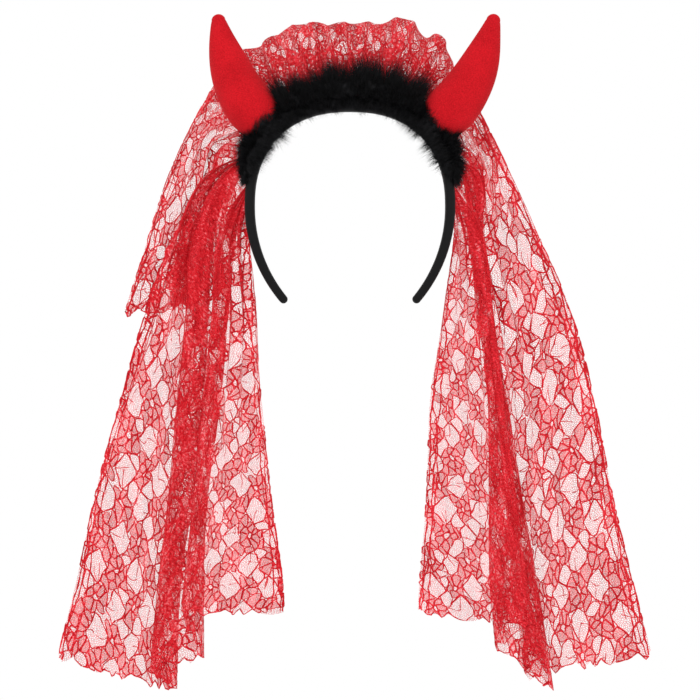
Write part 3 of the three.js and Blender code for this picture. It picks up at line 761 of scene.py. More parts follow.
def stuffed_horn(horn, material):
    places = np.linspace(0, 1, HORN_RINGS)
    line, along = horn_axis(horn, places)
    radius = horn_radius(places)
    cone = math.radians(HORN_TIP_CONE_DEG)
    turn = np.linspace(cone, math.pi / 2, HORN_TIP_RINGS)[1:-1]
    centre = line[-1] - along[-1] * HORN_TIP_RADIUS * math.sin(cone)
    line = np.concatenate([line, centre + along[-1] * (HORN_TIP_RADIUS * np.sin(turn))[:, None]])
    radius = np.concatenate([radius, HORN_TIP_RADIUS * np.cos(turn)])
    along = np.concatenate([along, np.repeat(along[-1:], len(turn), 0)])
    across = normalized(np.cross((0, 1, 0), along))
    angle = 2 * math.pi * np.arange(HORN_SIDES) / HORN_SIDES
    height = line[:, 2:3] / HORN_RADIUS
    lumps = sum(
        swell * np.sin(turns * angle + rise * height + shift * horn["side"])
        for swell, turns, rise, shift in HORN_LUMPS
    )
    size = radius[:, None] + lumps * smoothstep(radius, *LUMP_RADII)[:, None]
    rings = line[:, None] + across[:, None] * (size * np.cos(angle))[..., None]
    rings[..., 1] += size * HORN_DEPTH_SHARE * np.sin(angle)
    foot = line[0] - along[0] * radius[0] * HORN_FOOT
    tip = centre + along[-1] * HORN_TIP_RADIUS
    piece = loft_object(f"{horn['name']}_plush", rings, foot, tip, material)
    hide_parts(horn["name"])
    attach(piece, "root")


# Fur trim


def push_out_of_horns(points, clearance):
    """Moves points that lie inside a horn out to just over its surface."""
    for horn in HORNS:
        places = np.linspace(0, 1, HORN_PUSH_STEPS)
        line, along = horn_axis(horn, places)
        radius = horn_radius(places) + clearance
        across = normalized(np.cross((0, 1, 0), along))
        near = np.nonzero((points[:, 0] * horn["side"] > HORN_FROM_X) & (points[:, 2] > HORN_FROM_Z))[0]
        offset = points[near, None, :] - line[None]
        flat = offset * (1, 0, 1)
        closest = np.argmin((flat**2).sum(-1), axis=1)
        own = offset[np.arange(len(near)), closest]
        beside = (own * across[closest]).sum(-1)
        reach = np.hypot(beside / radius[closest], own[:, 1] / (radius[closest] * HORN_DEPTH_SHARE))
        lift = (own * along[closest]).sum(-1)
        inside = (reach < 1) & (np.abs(lift) < PUSH_PAST_ENDS)
        push = 1 / np.maximum(reach[inside], PUSH_LEAST_REACH) - 1
        move = across[closest[inside]] * (beside[inside] * push)[:, None]
        move[:, 1] += own[inside, 1] * push
        points[near[inside]] += move
    return points


def near_horn(deg):
    """One at a horn's seat, falling to nothing beside the horn."""
    away = np.abs(np.minimum(deg, 180 - deg) - HORN_SEAT_DEG)
    return 1 - smoothstep(away, *NEAR_HORN_DEG)


def fur_height(deg):
    """How far the fur stands out: low in front of each horn."""
    return mixed(FUR_HEIGHT * curve_through(FUR_PROFILE, deg), FUR_AT_HORN, near_horn(deg))


def fur_core(material):
    """The dark dense down that the strands stand out of; it ends before they do."""
    deg = np.linspace(FUR_TO_DEG - CORE_END_DEG, FUR_FROM_DEG + CORE_END_DEG, CORE_RINGS)
    end = smoothstep(np.minimum(deg - deg[-1], deg[0] - deg), *CORE_FADE_DEG)[:, None]
    share = mixed(*CORE_SHARES, smoothstep(np.minimum(deg, 180 - deg), *CORE_SIDE_DEG))
    height = (FUR_BACKING / 2 + fur_height(deg) * share)[:, None] * end
    angle = 2 * math.pi * np.arange(CORE_SIDES) / CORE_SIDES
    lumps = 1 + sum(
        size * np.sin(turns * angle + rate * deg[:, None]) for size, turns, rate in CORE_LUMPS
    )
    outward = BAND_THICKNESS / 2 + height / 2 * (1 + np.cos(angle) * lumps)
    forward = np.minimum(CORE_DEPTH, CORE_FORWARD + height) * end
    rear = FUR_REAR - forward / 2 * (1 - np.sin(angle) * lumps)
    rings = arch_offset(deg[:, None], outward, np.minimum(rear, FUR_REAR))
    start, end = (arch_offset(at, BAND_THICKNESS / 2, 0) for at in (deg[0], deg[-1]))
    core = loft_object("fur_core", rings, start, end, material)
    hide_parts("fur_trim")
    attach(core, "root")


def fur_direction(deg, outward, sideways, forward):
    """A direction at places along the band, from shares outward, sideways along it and forward."""
    away = arch_outward(deg)
    vector = away * outward[:, None] + np.cross((0, 1, 0), away) * sideways[:, None]
    vector[:, 1] -= forward
    return normalized(vector)


def strand_mesh(name, material, root, first, last, length, width, rng):
    """Tapered flat strands that leave their roots one way and end another."""
    count, steps = len(root), len(STRAND_WIDTHS)
    t = np.linspace(0, 1, steps + 1)[None, :, None]
    bend = first[:, None] * (t - t * t / 2) + last[:, None] * t * t / 2
    path = root[:, None] + length[:, None, None] * bend
    path += rng.normal(0, STRAND_WANDER, path.shape) * t
    path[..., 1] = np.clip(path[..., 1], -FUR_FRONT, FUR_REAR)
    path = push_out_of_horns(path.reshape(-1, 3), STRAND_CLEARANCE).reshape(path.shape)
    side = normalized(np.cross(last, rng.normal(0, 1, (count, 3))))
    half = side[:, None] * (width / 2 * np.array(STRAND_WIDTHS))[None, :, None]
    points = np.concatenate([path[:, :steps] - half, path[:, :steps] + half, path[:, steps:]], axis=1)
    faces = np.arange(count)[:, None, None] * points.shape[1] + np.array(STRAND_FACES)
    piece = mesh_object(name, points.reshape(-1, 3), faces.reshape(-1, 3).tolist(), material, smooth=False)
    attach(piece, "root")


def strand_roots(count, rng):
    """For each strand: its place, a lean aside and a length for its tuft, and one at the fur's ends.

    The fur thins out towards its two ends, and the strands there lie along the band. Strands of one
    tuft lean nearly the same way.
    """
    low = FUR_FROM_DEG + rng.uniform(0, RAGGED_DEG, count)
    high = FUR_TO_DEG - rng.uniform(0, RAGGED_DEG, count)
    deg = low + (high - low) * rng.uniform(0, 1, count)
    across = rng.uniform(0, 1, count)
    row = np.floor(deg / TUFT_DEG + TUFT_SLANT * across).astype(int)
    cell = row * TUFT_STRIDE + np.floor(across * TUFT_ROWS).astype(int)
    own = np.random.default_rng(TUFT_SEED).uniform(0, 1, (TUFT_TABLE, 2))[cell % TUFT_TABLE]
    swept = 1 - smoothstep(np.minimum(deg - FUR_FROM_DEG, FUR_TO_DEG - deg), 0, END_SWEEP_DEG)
    aside = (own[:, 0] - 0.5) * TUFT_LEAN + rng.normal(0, STRAND_LEAN, count)
    return deg, across, aside + np.sign(90 - deg) * swept, mixed(*TUFT_LENGTHS, own[:, 1]), swept


def fur_crest(name, material, count, seed, longer, width):
    """Strands that stand out from the band, upright at its back and leaning forward at its front."""
    rng = np.random.default_rng(seed)
    deg, across, aside, tuft, swept = strand_roots(count, rng)
    forward = across**CREST_POWER
    lean = np.radians(mixed(*CREST_LEAN_DEG, forward) + rng.normal(0, CREST_LEAN_SPREAD_DEG, count))
    height = fur_height(deg)
    reach = mixed(height, np.minimum(height, FUR_REACH), forward)
    length = reach * tuft * longer * rng.uniform(*CREST_LENGTHS, count)
    length = length + CREST_SHORTEST + END_LONGER * swept * rng.uniform(0, 1, count)
    upright = 1 - END_FLATTER * swept
    first, last = (
        fur_direction(deg, upright * np.cos(lean * curl), aside * sideways, np.sin(lean * curl))
        for curl, sideways in CREST_CURLS
    )
    outward = BAND_THICKNESS / 2 + rng.uniform(*CREST_ROOTS, count)
    start = arch_offset(deg, outward, mixed(*CREST_ACROSS, across))
    strand_mesh(name, material, start, first, last, length * CREST_STRETCH, width, rng)


def fur_apron(name, material, count, seed, width):
    """Strands that bulge forward and droop over the front of the band, most where it turns down."""
    rng = np.random.default_rng(seed)
    deg, across, aside, tuft, _ = strand_roots(count, rng)
    from_side = np.minimum(deg, 180 - deg)
    from_turn = np.abs(from_side - APRON_TURN_DEG)
    droop = mixed(*APRON_DROOP, 1 - smoothstep(from_turn, *APRON_TURN_REACH_DEG))
    droop = droop * smoothstep(from_side, *APRON_START_DEG)
    length = APRON_REACH * droop * tuft * rng.uniform(*APRON_LENGTHS, count)
    falls = np.full(count, -APRON_FALL)
    first = fur_direction(deg, mixed(*APRON_RISE, across), aside * APRON_ASIDE[0], 1)
    last = fur_direction(deg, falls, aside * APRON_ASIDE[1], rng.normal(*APRON_FORWARD, count))
    outward = BAND_THICKNESS / 2 + mixed(*APRON_ROOTS, across)
    start = arch_offset(deg, outward, APRON_INSET - BAND_DEPTH / 2)
    strand_mesh(name, material, start, first, last, length, width, rng)


# Lace veil: the surfaces


def seam_depth(deg):
    at_band = BAND_DEPTH / 2 + GAP + LACE_WALL / 2
    at_horn = HORN_RADIUS * HORN_DEPTH_SHARE - HORN_FORWARD + SEAM_CLEARANCE + LACE_WALL
    from_horn = np.abs(np.minimum(deg, 180 - np.asarray(deg)) - HORN_SEAT_DEG)
    return mixed(at_horn, at_band, smoothstep(from_horn, *SEAM_STEP_DEG))


def even_curve(points):
    """Evenly spaced points on a centripetal Catmull-Rom curve through a few points."""
    padded = np.concatenate([[2 * points[0] - points[1]], points, [2 * points[-1] - points[-2]]])
    t = np.linspace(0, 1, CURVE_PIECE_STEPS, endpoint=False)[:, None]
    pieces = []
    for p0, p1, p2, p3 in zip(padded, padded[1:], padded[2:], padded[3:]):
        d0, d1, d2 = (math.sqrt(np.linalg.norm(b - a)) for a, b in ((p0, p1), (p1, p2), (p2, p3)))
        start = ((p1 - p0) / d0 - (p2 - p0) / (d0 + d1) + (p2 - p1) / d1) * d1
        end = ((p2 - p1) / d1 - (p3 - p1) / (d1 + d2) + (p3 - p2) / d2) * d1
        cubic = (2 * (p1 - p2) + start + end) * t**3 + (3 * (p2 - p1) - 2 * start - end) * t**2
        pieces.append(cubic + start * t + p1)
    curve = np.concatenate([*pieces, points[-1:]])
    length = length_along(curve)
    return resampled(curve, length, np.linspace(0, length[-1], CURVE_SAMPLES)), length[-1]


class Cut:
    """The flat cut of a sheet: from its seam edge, at the top, it widens to a notched hem."""

    notch = HEM_NOTCH

    def half_width(self, v):
        return self.width / 2 * mixed(self.seam_share, 1, v / self.length)

    def hem(self, u):
        wave = u / HEM_NOTCH_PITCH + NOTCH_UNEVEN * np.sin(u / HEM_NOTCH_PITCH * NOTCH_UNEVEN_RATE)
        return self.length - self.notch * np.abs(2 * np.modf(wave)[0] - 1)

    def covers(self, place):
        beside = abs(place[0] - self.width / 2)
        return 0 < place[1] < self.length and beside < self.half_width(place[1])

    def cut(self, points):
        """Points of the pattern, moved onto the cut's edge where they pass it."""
        v = np.clip(points[:, 1], 0, self.hem(points[:, 0]))
        beside = points[:, 0] - self.width / 2
        half = self.half_width(v)
        return np.stack([self.width / 2 + np.clip(beside, -half, half), v], -1)

    @property
    def area(self):
        return self.width * self.length * (1 + self.seam_share) / 2


class FoldedSheet(Cut):
    """A hanging sheet: folds run down it as rails, with a smoothly bent panel between each two."""

    def __init__(self, folds, sections, spread, seam_share, seed, pattern_scale=1):
        self.seam_share = seam_share
        self.pattern_scale = pattern_scale
        self.spread = spread
        self.seed = seed
        downs, *shares = zip(*sections)
        rails = [
            even_curve(self.rail(dict(zip(FOLD_COLUMNS, fold)), downs, share))
            for fold, share in zip(folds, shares)
        ]
        self.rails = np.array([points for points, _ in rails])
        self.length = float(np.mean([length for _, length in rails]))
        hems = self.rails[:, -1]
        self.widths = HEM_EASE * np.linalg.norm(np.diff(hems, axis=0), axis=1)
        self.edges = np.concatenate([[0], np.cumsum(self.widths)])
        self.width = float(self.edges[-1])

    def rail(self, fold, downs, shares):
        """The places that a fold or an edge runs through, from the seam to the hem."""
        ridge = PUFF_DEPTH / 2 * fold["rise"]
        top = arch_offset(fold["deg"], PUFF_HEIGHT * fold["rise"], seam_depth(fold["deg"]) + ridge)
        first = (RAIL_CLEAR_DROP - top[2]) / VEIL_FALL
        last = fold["hem"] - RAIL_CLEAR_SHARE
        down = np.array([*(down for down in downs if first < down < last), fold["hem"]])
        x = self.spread * np.interp(down, downs, shares)
        z = -VEIL_FALL * down
        fall_back = mixed(FALL_BACK, 1, smoothstep(down, *FALL_BACK_DOWN))
        phase = 2 * math.pi * (x * DRAPE_SLANT + z) / DRAPE_LENGTH
        wave = DRAPE_WAVE * np.sin(phase) * smoothstep(down, *SWAY_DOWN)
        y = VEIL_DEPTH * fold["depth"] * fall_back + wave
        return np.concatenate([[top], np.stack([x, y, z], -1)])

    def point(self, flat_u, v):
        """The place in space of points of the flat fabric: metres across and metres down."""
        u = self.width / 2 + (flat_u - self.width / 2) * self.width / 2 / self.half_width(v)
        panel = np.clip(np.searchsorted(self.edges, u, side="right") - 1, 0, len(self.widths) - 1)
        share = (u - self.edges[panel]) / self.widths[panel]
        free_edge = np.where(panel == 0, 1.0, np.where(panel == len(self.widths) - 1, -1.0, 0.0))
        between_folds = FOLD_ROUNDING * np.sin(2 * math.pi * share) / (2 * math.pi)
        beside_edge = EDGE_ROUNDING * share * (share - 1) * free_edge
        eased = share - np.where(free_edge == 0, between_folds, beside_edge)
        down = v / self.length
        row = np.clip(down, 0, 1) * (self.rails.shape[1] - 1)
        low = np.minimum(row.astype(int), self.rails.shape[1] - 2)
        part = (row - low)[:, None]
        a, b = (mixed(self.rails[k, low], self.rails[k, low + 1], part) for k in (panel, panel + 1))
        point = mixed(a, b, eased[:, None])
        point[:, 1] = mixed(a[:, 1], b[:, 1], share)
        return point + self.gathers(u, down)

    def gathers(self, u, down):
        """Small soft pleats that start at the seam and die out down the fabric, and a slow sway."""
        wander, wander_down, wander_across = GATHER_WANDER
        bend = wander * np.sin(down * wander_down + self.seed + u * wander_across)
        phase = 2 * math.pi * u / GATHER_PITCH + self.seed + bend
        middle, swing, swing_across, swing_down = GATHER_SWELL
        swell = middle + swing * np.sin(u * swing_across + self.seed + swing_down * down)
        gather = swell * (1 - smoothstep(down, *GATHER_FADE)) * smoothstep(down, *GATHER_START)
        sway_phase = 2 * math.pi * u / SWAY_PITCH + SWAY_SLANT * down
        sway = SWAY_DEPTH * np.sin(sway_phase) * smoothstep(down, *SWAY_DOWN)
        aside = GATHER_ASIDE * gather * np.sin(phase)
        depth = GATHER_DEPTH * gather * np.cos(phase) + sway
        return np.stack([aside, depth, np.zeros_like(u)], -1)


class PuffSheet(Cut):
    """The ruffled loop of lace over the crown, from its front seam over the ridge to its rear seam."""

    notch = 0
    seam_share = 1
    width = PUFF_FABRIC_WIDTH
    pattern_scale = PUFF_PATTERN_SCALE

    def __init__(self):
        rise, depth = self.section(np.linspace(0, 1, PUFF_SECTION_STEPS))
        middle = np.stack([rise * PUFF_HEIGHT, depth * PUFF_DEPTH], -1)
        self.length = float(length_along(middle)[-1])

    def section(self, along):
        """The loop's rise and depth, as shares, at places along it."""
        rises = [(place, rise) for place, rise, _ in PUFF_SECTION]
        depths = [(place, depth) for place, _, depth in PUFF_SECTION]
        return curve_through(rises, along), curve_through(depths, along)

    def point(self, u, v):
        across = np.clip(u / self.width, 0, 1)
        along = np.clip(v / self.length, 0, 1)
        deg = mixed(PUFF_TO_DEG, PUFF_FROM_DEG, across)
        rise, depth = self.section(along)
        height = PUFF_HEIGHT * curve_through(PUFF_RIDGE, deg)
        free = np.sin(math.pi * along)
        phase = 2 * math.pi * (PUFF_RUFFLES * across + PUFF_RUFFLE_SLANT * along)
        middle, swing, rate, shift = PUFF_SWELL
        ruffle = PUFF_RUFFLE * free * (middle + swing * np.sin(phase * rate + shift)) * np.sin(phase)
        aside, crinkle = self.gathers(u, across, along, rise)
        deg = deg - aside
        rear = seam_depth(deg) + PUFF_DEPTH * depth + ruffle * (1 - depth * PUFF_REAR_CALM) + crinkle
        ridge = PUFF_RIDGE_SHARE * free * PUFF_RUFFLE * np.cos(2 * phase)
        return arch_offset(deg, height * rise + ridge, np.maximum(rear, PUFF_REAR))

    def gathers(self, u, across, along, rise):
        """Small pleats at the two seams: degrees aside along the band, and depth."""
        wander, wander_along, wander_across = PUFF_WANDER
        bend = wander * np.sin(wander_along * along + u * wander_across)
        phase = 2 * math.pi * u / GATHER_PITCH + bend
        fade = 1 - PUFF_GATHER_FADE * smoothstep(rise, *PUFF_GATHER_RISE)
        gather = smoothstep(along, *PUFF_GATHER_START) * fade
        inside = 1 - smoothstep(np.abs(across - 0.5), *PUFF_GATHER_SIDE)
        return PUFF_GATHER_DEG * gather * np.sin(phase) * inside, GATHER_DEPTH * gather * np.cos(phase)


# Lace veil: the pattern


def staggered(rows, columns):
    """Places over one repeat, with every second row shifted by half a step."""
    for row in range(rows):
        for column in range(columns):
            yield np.array([(column + row % 2 / 2) / columns, row / rows]) * PERIOD


def petals_round(flower, rng):
    first = rng.uniform(0, 2 * math.pi)
    for k in range(FLOWER_PETALS):
        turn = first + 2 * math.pi * (k + rng.uniform(-PETAL_TURN, PETAL_TURN)) / FLOWER_PETALS
        reach = FLOWER_REACH * rng.uniform(*PETAL_PLACES)
        place = flower + reach * np.array([math.cos(turn), math.sin(turn)])
        yield (*place, PETAL_REACH, "petal")


def offsets_between(places, place):
    """How far across and down a place is from others, or from their copies in the next repeat."""
    away = np.abs(np.array(places) - place)
    return np.minimum(away, np.abs(PERIOD - away))


class Mosaic:
    """The middles of one repeat's cells: place, reach and kind, in a space with its height shrunk."""

    def __init__(self, rng):
        self.windows, self.flowers = [], []
        flower_cells = []
        for middle in staggered(WINDOW_ROWS, WINDOW_COLUMNS):
            place = middle + rng.uniform(-WINDOW_SHIFT, WINDOW_SHIFT, 2)
            self.windows.append((*place, rng.uniform(*WINDOW_REACH), "window"))
            beside = (REPEAT_WIDTH / WINDOW_COLUMNS / 2, 0)
            flower = middle + beside + rng.uniform(-FLOWER_SHIFT, FLOWER_SHIFT, 2)
            self.flowers.append(flower)
            flower_cells.extend([(*flower, FLOWER_EYE, "eye"), *petals_round(flower, rng)])
        cells = [cell for cell in flower_cells if self.clear_of_windows(cell[:2], PETAL_CLEARANCE)]
        medium = self.medium_windows(rng)
        cells.extend(self.leaves(medium, rng))
        self.cells = cells + medium + self.windows

    def clear_of_windows(self, place, clearance):
        away = offsets_between([window[:2] for window in self.windows], place)
        far = (away**WINDOW_POWER).sum(1) ** (1 / WINDOW_POWER)
        return (far > np.array([window[2] for window in self.windows]) + clearance).all()

    def clear_of_flowers(self, place):
        away = offsets_between(self.flowers, place)
        return (np.linalg.norm(away, axis=1) > FLOWER_REACH).all()

    def medium_windows(self, rng):
        medium = []
        while len(medium) < MEDIUM_WINDOWS:
            place = rng.uniform(0, 1, 2) * PERIOD
            apart = all(np.linalg.norm(place - other[:2]) > MEDIUM_PITCH for other in medium)
            if apart and self.clear_of_windows(place, MEDIUM_CLEARANCE) and self.clear_of_flowers(place):
                medium.append((*place, rng.uniform(*MEDIUM_REACH), "open"))
        return medium

    def leaves(self, medium, rng):
        columns = round(PERIOD[0] / LEAF_PITCH)
        rows = 2 * round(PERIOD[1] / LEAF_PITCH / math.sqrt(3))
        for middle in staggered(rows, columns):
            place = middle + rng.uniform(-LEAF_SHIFT, LEAF_SHIFT, 2) * LEAF_PITCH
            beside = all(np.linalg.norm(place - other[:2]) > other[2] + LEAF_AT_MEDIUM for other in medium)
            if beside and self.clear_of_windows(place, LEAF_CLEARANCE) and self.clear_of_flowers(place):
                kind = "open" if rng.random() < OPEN_SHARE else "petal"
                yield (*place, LEAF_REACH * rng.uniform(*LEAF_SIZES), kind)


def clipped(polygon, normal, limit):
    """The part of a convex polygon where normal . point is at most limit."""
    heights = polygon @ normal - limit
    kept = []
    for k in range(len(polygon)):
        before, after = heights[k - 1], heights[k]
        if (before > 0) != (after > 0):
            kept.append(polygon[k - 1] + (polygon[k] - polygon[k - 1]) * before / (before - after))
        if after <= 0:
            kept.append(polygon[k])
    return np.array(kept)


def window_edge(offset, window_reach, leaf_reach):
    """How far a window's edge lies from its middle, towards a cell at an offset from it."""
    far = np.linalg.norm(offset)
    facing = np.abs(offset / far) ** WINDOW_FACING
    pointed = window_reach * facing.sum() ** (1 / WINDOW_FACING)
    return min(pointed, far - leaf_reach * LEAF_KEPT)


def edge_between(offset, own, other):
    """How far the line between two cells lies from the first one's middle."""
    far = np.linalg.norm(offset)
    if own["window"] == other["window"]:
        return (far + (own["reach"] ** 2 - other["reach"] ** 2) / far) / 2
    if own["window"]:
        return window_edge(offset, own["reach"], other["reach"])
    return far - window_edge(offset, other["reach"], own["reach"])


def cell_outline(own, around, places, reaches):
    """What is nearer to a cell than to the cells around it, as a polygon about its middle."""
    offsets = places - own["place"]
    distance = np.linalg.norm(offsets, axis=1)
    order = np.argsort(distance - reaches)
    size = own["reach"] * 2 + CELL_MARGIN
    polygon = size * np.array([(-1, -1), (1, -1), (1, 1), (-1, 1)])
    for k in order[:NEIGHBOURS]:
        if TINY < distance[k] < 3 * size:
            edge = edge_between(offsets[k], own, around[k])
            polygon = clipped(polygon, offsets[k], distance[k] * edge)
    return polygon


def rounded(polygon, corner):
    """The polygon with its corners cut off, drawn in from its neighbours' cords."""
    following = np.roll(polygon, -1, 0)
    ends = (mixed(polygon, following, corner), mixed(following, polygon, corner))
    loop = np.stack(ends, 1).reshape(-1, 2)
    middle = loop.mean(0)
    radius = np.linalg.norm(loop - middle, axis=1).mean()
    return middle + (loop - middle) * (1 - CORD_INSET / radius)


def lace_cells(seed):
    """One repeat of the lace: each cell's rounded outline and its kind."""
    cells = [
        {"place": np.array([x, z]), "reach": reach, "window": kind == "window", "kind": kind}
        for x, z, reach, kind in Mosaic(np.random.default_rng(seed)).cells
    ]
    steps = [np.array([i, j]) * PERIOD for i in (-1, 0, 1) for j in (-1, 0, 1)]
    around = [{**cell, "place": cell["place"] + step} for step in steps for cell in cells]
    places, reaches = (np.array([cell[key] for cell in around]) for key in ("place", "reach"))
    shapes = []
    for cell in cells:
        corner = WINDOW_ROUNDING if cell["window"] else CELL_ROUNDING
        loop = rounded(cell_outline(cell, around, places, reaches), corner) + cell["place"]
        shapes.append((loop * (1, CELL_STRETCH), cell["kind"]))
    return shapes


def vein(loop, rng):
    """A fine thread that wanders in from a window's frame."""
    start = loop[rng.integers(len(loop))]
    end = loop.mean(0) + rng.uniform(-VEIN_SPREAD, VEIN_SPREAD, 2)
    t = np.linspace(0, 1, VEIN_STEPS)[:, None]
    bow = rng.uniform(-VEIN_BOW, VEIN_BOW, 2) * np.sin(math.pi * t)
    return mixed(start, end, t) + bow


def warp_wave(a, b, seed, rates):
    slow, sway, fine, slant = rates
    wave = np.sin(a * slow + WARP_SWAY * np.sin(b * sway + seed))
    return wave + WARP_FINE * np.sin(a * fine + b * slant)


def warped(points, seed):
    """The small uneven shifts of soft lace, so that no two repeats match."""
    u, v = points[:, 0] / WARP_PITCH, points[:, 1] / WARP_PITCH
    shift = [warp_wave(v, u, seed, WARP_ACROSS), warp_wave(u, v, seed, WARP_DOWN)]
    return points + WARP * np.stack(shift, -1)


def border_threads(sheet, rng):
    """Threads that wander down beside the two cut side edges."""
    threads = []
    v = np.arange(0, sheet.length, BORDER_STEP)
    for side in (-1, 1):
        for inset in BORDER_INSETS:
            wander = np.cumsum(rng.normal(0, BORDER_SPREAD, len(v)))
            wander = np.abs(inset + (wander - wander.mean()) * BORDER_WANDER)
            u = sheet.width / 2 + side * (sheet.half_width(v) - wander)
            threads.append((sheet.cut(np.stack([u, v], -1)), False, CORD_WIDTH))
    return threads


def lace_pattern(sheet, seed):
    """The petals and cords of the lace over a sheet's whole cut, cut off along its edges."""
    rng = np.random.default_rng(seed)
    cells = lace_cells(REPEAT_SEED)
    period = np.array([REPEAT_WIDTH, REPEAT_HEIGHT]) * sheet.pattern_scale
    shift = rng.uniform(0, 1, 2) * period
    width = CORD_WIDTH * math.sqrt(sheet.pattern_scale)
    petals, cords = [], border_threads(sheet, rng)
    for row in range(-1, int(sheet.length / period[1]) + 2):
        for column in range(-1, int(sheet.width / period[0]) + 2):
            corner = np.array([column, row]) * period - shift
            for shape, kind in cells:
                loop = warped(shape * sheet.pattern_scale + corner, seed)
                if not sheet.covers(loop.mean(0)):
                    continue
                if kind == "petal":
                    petals.append(sheet.cut(loop))
                cords.append((sheet.cut(loop), True, width))
                if kind == "window":
                    cords.extend((sheet.cut(vein(loop, rng)), False, VEIN_WIDTH) for _ in range(VEINS))
    return petals, cords


def petal_mesh(loops):
    """One fan of triangles for each petal."""
    points, faces = [], []
    first = 0
    for loop in loops:
        count = len(loop)
        points.append(np.concatenate([loop, [loop.mean(0)]]))
        k = np.arange(count)
        faces.append(np.stack([first + k, first + (k + 1) % count, np.full(count, first + count)], -1))
        first += count + 1
    return np.concatenate(points), np.concatenate(faces).tolist()


def cord_mesh(cords):
    """A flat ribbon along each loop or thread."""
    rng = np.random.default_rng(CORD_SEED)
    points, faces = [], []
    first = 0
    for line, closed, width in cords:
        count = len(line)
        if closed:
            tangent = np.roll(line, -1, 0) - np.roll(line, 1, 0)
        else:
            tangent = np.gradient(line, axis=0)
        half = width / 2 * rng.uniform(*CORD_WIDTHS, (count, 1))
        normal = normalized(np.stack([-tangent[:, 1], tangent[:, 0]], -1) + TINY) * half
        points.append(np.concatenate([line + normal, line - normal]))
        k = np.arange(count if closed else count - 1)
        following = (k + 1) % count
        faces.append(first + np.stack([k, following, following + count, k + count], -1))
        first += 2 * count
    return np.concatenate(points), np.concatenate(faces).tolist()


def sheet_normals(sheet, u, v):
    across = sheet.point(u + NORMAL_STEP, v) - sheet.point(u - NORMAL_STEP, v)
    down = sheet.point(u, v + NORMAL_STEP) - sheet.point(u, v - NORMAL_STEP)
    return normalized(np.cross(across, down) + TINY)


def lace_piece(name, sheet, flat_points, faces, material, lift):
    u, v = flat_points[:, 0], flat_points[:, 1]
    points = sheet.point(u, v) + sheet_normals(sheet, u, v) * lift
    piece = mesh_object(name, points, faces, material)
    add_uv(piece, flat_points)
    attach(piece, "root")
    return piece


def net_piece(name, sheet, material):
    columns, rows = int(sheet.width / NET_CELL[0]), int(sheet.length / NET_CELL[1])
    u, v = np.meshgrid(np.linspace(-0.5, 0.5, columns + 1), np.linspace(0, 1, rows + 1))
    v = v * sheet.hem(sheet.width * (0.5 + u))
    u = sheet.width / 2 + u * 2 * sheet.half_width(v)
    r, c = np.meshgrid(np.arange(rows), np.arange(columns), indexing="ij")
    corner = (r * (columns + 1) + c).ravel()
    faces = np.stack([corner, corner + 1, corner + columns + 2, corner + columns + 1], -1).tolist()
    return lace_piece(name, sheet, np.stack([u.ravel(), v.ravel()], -1), faces, material, 0)


def lace_cloth(node, sheet, seed, cord):
    """Net, petals and cords of one sheet of lace."""
    heading = HEADINGS[node]
    mesh = lace_material(f"{node}_net", heading, **NET_CLOTH)
    stitching = lace_material(f"{node}_petal", heading, **PETAL_CLOTH)
    net = net_piece(f"{node}_net", sheet, mesh)
    petals, cords = lace_pattern(sheet, seed)
    petal_cloth = lace_piece(f"{node}_petals", sheet, *petal_mesh(petals), stitching, PETAL_LIFT)
    cord_cloth = lace_piece(f"{node}_cords", sheet, *cord_mesh(cords), cord, CORD_LIFT)
    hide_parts(node)
    sheet.area


# Camera, light and floor


def camera():
    data = bpy.data.cameras.new("camera")
    data.lens = CAMERA_LENS
    data.dof.use_dof = False
    piece = bpy.data.objects.new("camera", data)
    piece.location = (0, -CAMERA_DISTANCE, CAMERA_HEIGHT)
    piece.rotation_euler = (math.pi / 2, 0, 0)
    bpy.context.scene.collection.objects.link(piece)
    bpy.context.scene.camera = piece


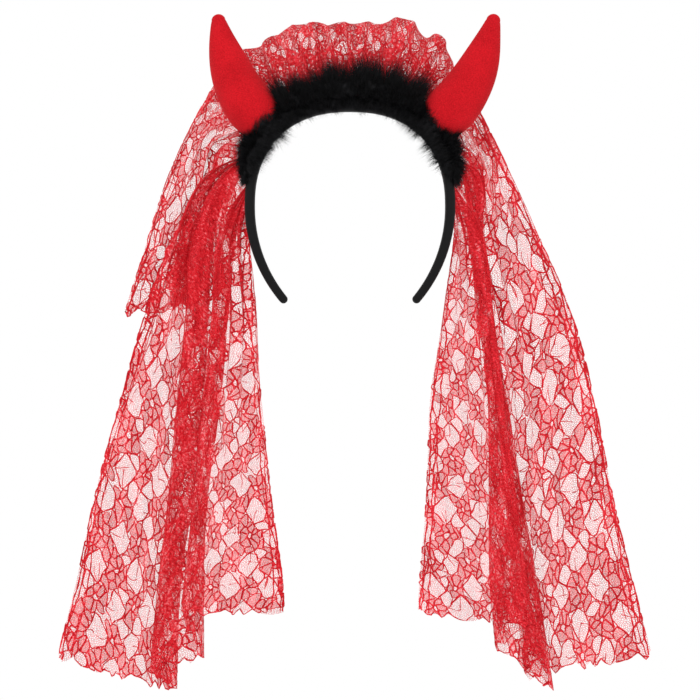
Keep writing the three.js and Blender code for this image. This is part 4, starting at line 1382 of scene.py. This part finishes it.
def area_light(name, place, power):
    data = bpy.data.lights.new(name, "AREA")
    data.shape = "DISK"
    data.size = LIGHT_SIZE
    data.energy = power
    piece = bpy.data.objects.new(name, data)
    piece.location = place
    direction = np.subtract(LIGHT_TARGET, place)
    flat = math.hypot(direction[0], direction[1])
    piece.rotation_euler = (math.atan2(flat, -direction[2]), 0, math.atan2(-direction[0], direction[1]))
    bpy.context.scene.collection.objects.link(piece)


def studio():
    world = bpy.data.worlds.new("studio")
    world.use_nodes = True
    background = world.node_tree.nodes["Background"]
    background.inputs["Color"].default_value = (1, 1, 1, 1)
    background.inputs["Strength"].default_value = 1
    bpy.context.scene.world = world
    for name, place, power in LIGHTS:
        area_light(name, place, power)
    angle = np.linspace(0, 2 * math.pi, FLOOR_SIDES, endpoint=False)
    rim = np.stack([np.cos(angle), np.sin(angle), np.zeros_like(angle)], -1) * FLOOR_RADIUS
    rim[:, 2] = cad_box[0][2] - FLOOR_DROP
    floor = mesh_object("floor", rim, [list(range(len(rim)))], floor_material(), smooth=False)


camera()
studio()
bpy.context.scene.view_settings.view_transform = "Standard"
bpy.context.scene.cycles.transparent_max_bounces = LACE_LAYERS

head_band(band_material())
plush = plush_material()
for horn in HORNS:
    stuffed_horn(horn, plush)
fur = fur_material()
fur_core(fur)
fur_crest("fur_crest", fur, count=34000, seed=3, longer=1, width=0.32 * MM)
fur_crest("fur_wisps", fur, count=6000, seed=5, longer=1.2, width=0.2 * MM)
fur_apron("fur_apron", fur, count=20000, seed=6, width=0.36 * MM)

left_drop = FoldedSheet(LEFT_FOLDS, LEFT_SECTIONS, -VEIL_SPREAD_LEFT, SEAM_SHARE, 0.4)
right_drop = FoldedSheet(RIGHT_FOLDS, RIGHT_SECTIONS, VEIL_SPREAD_RIGHT, SEAM_SHARE, 1.7)
short_layer = FoldedSheet(
    SHORT_FOLDS, SHORT_SECTIONS, -VEIL_SPREAD_LEFT, SHORT_SEAM_SHARE, 2.6, SHORT_PATTERN_SCALE
)
cord = cord_material()
lace_cloth("veil_drop_left", left_drop, 11, cord)
lace_cloth("veil_drop_right", right_drop, 12, cord)
lace_cloth("veil_short_layer", short_layer, 13, cord)
lace_cloth("veil_puff", PuffSheet(), 14, cord)
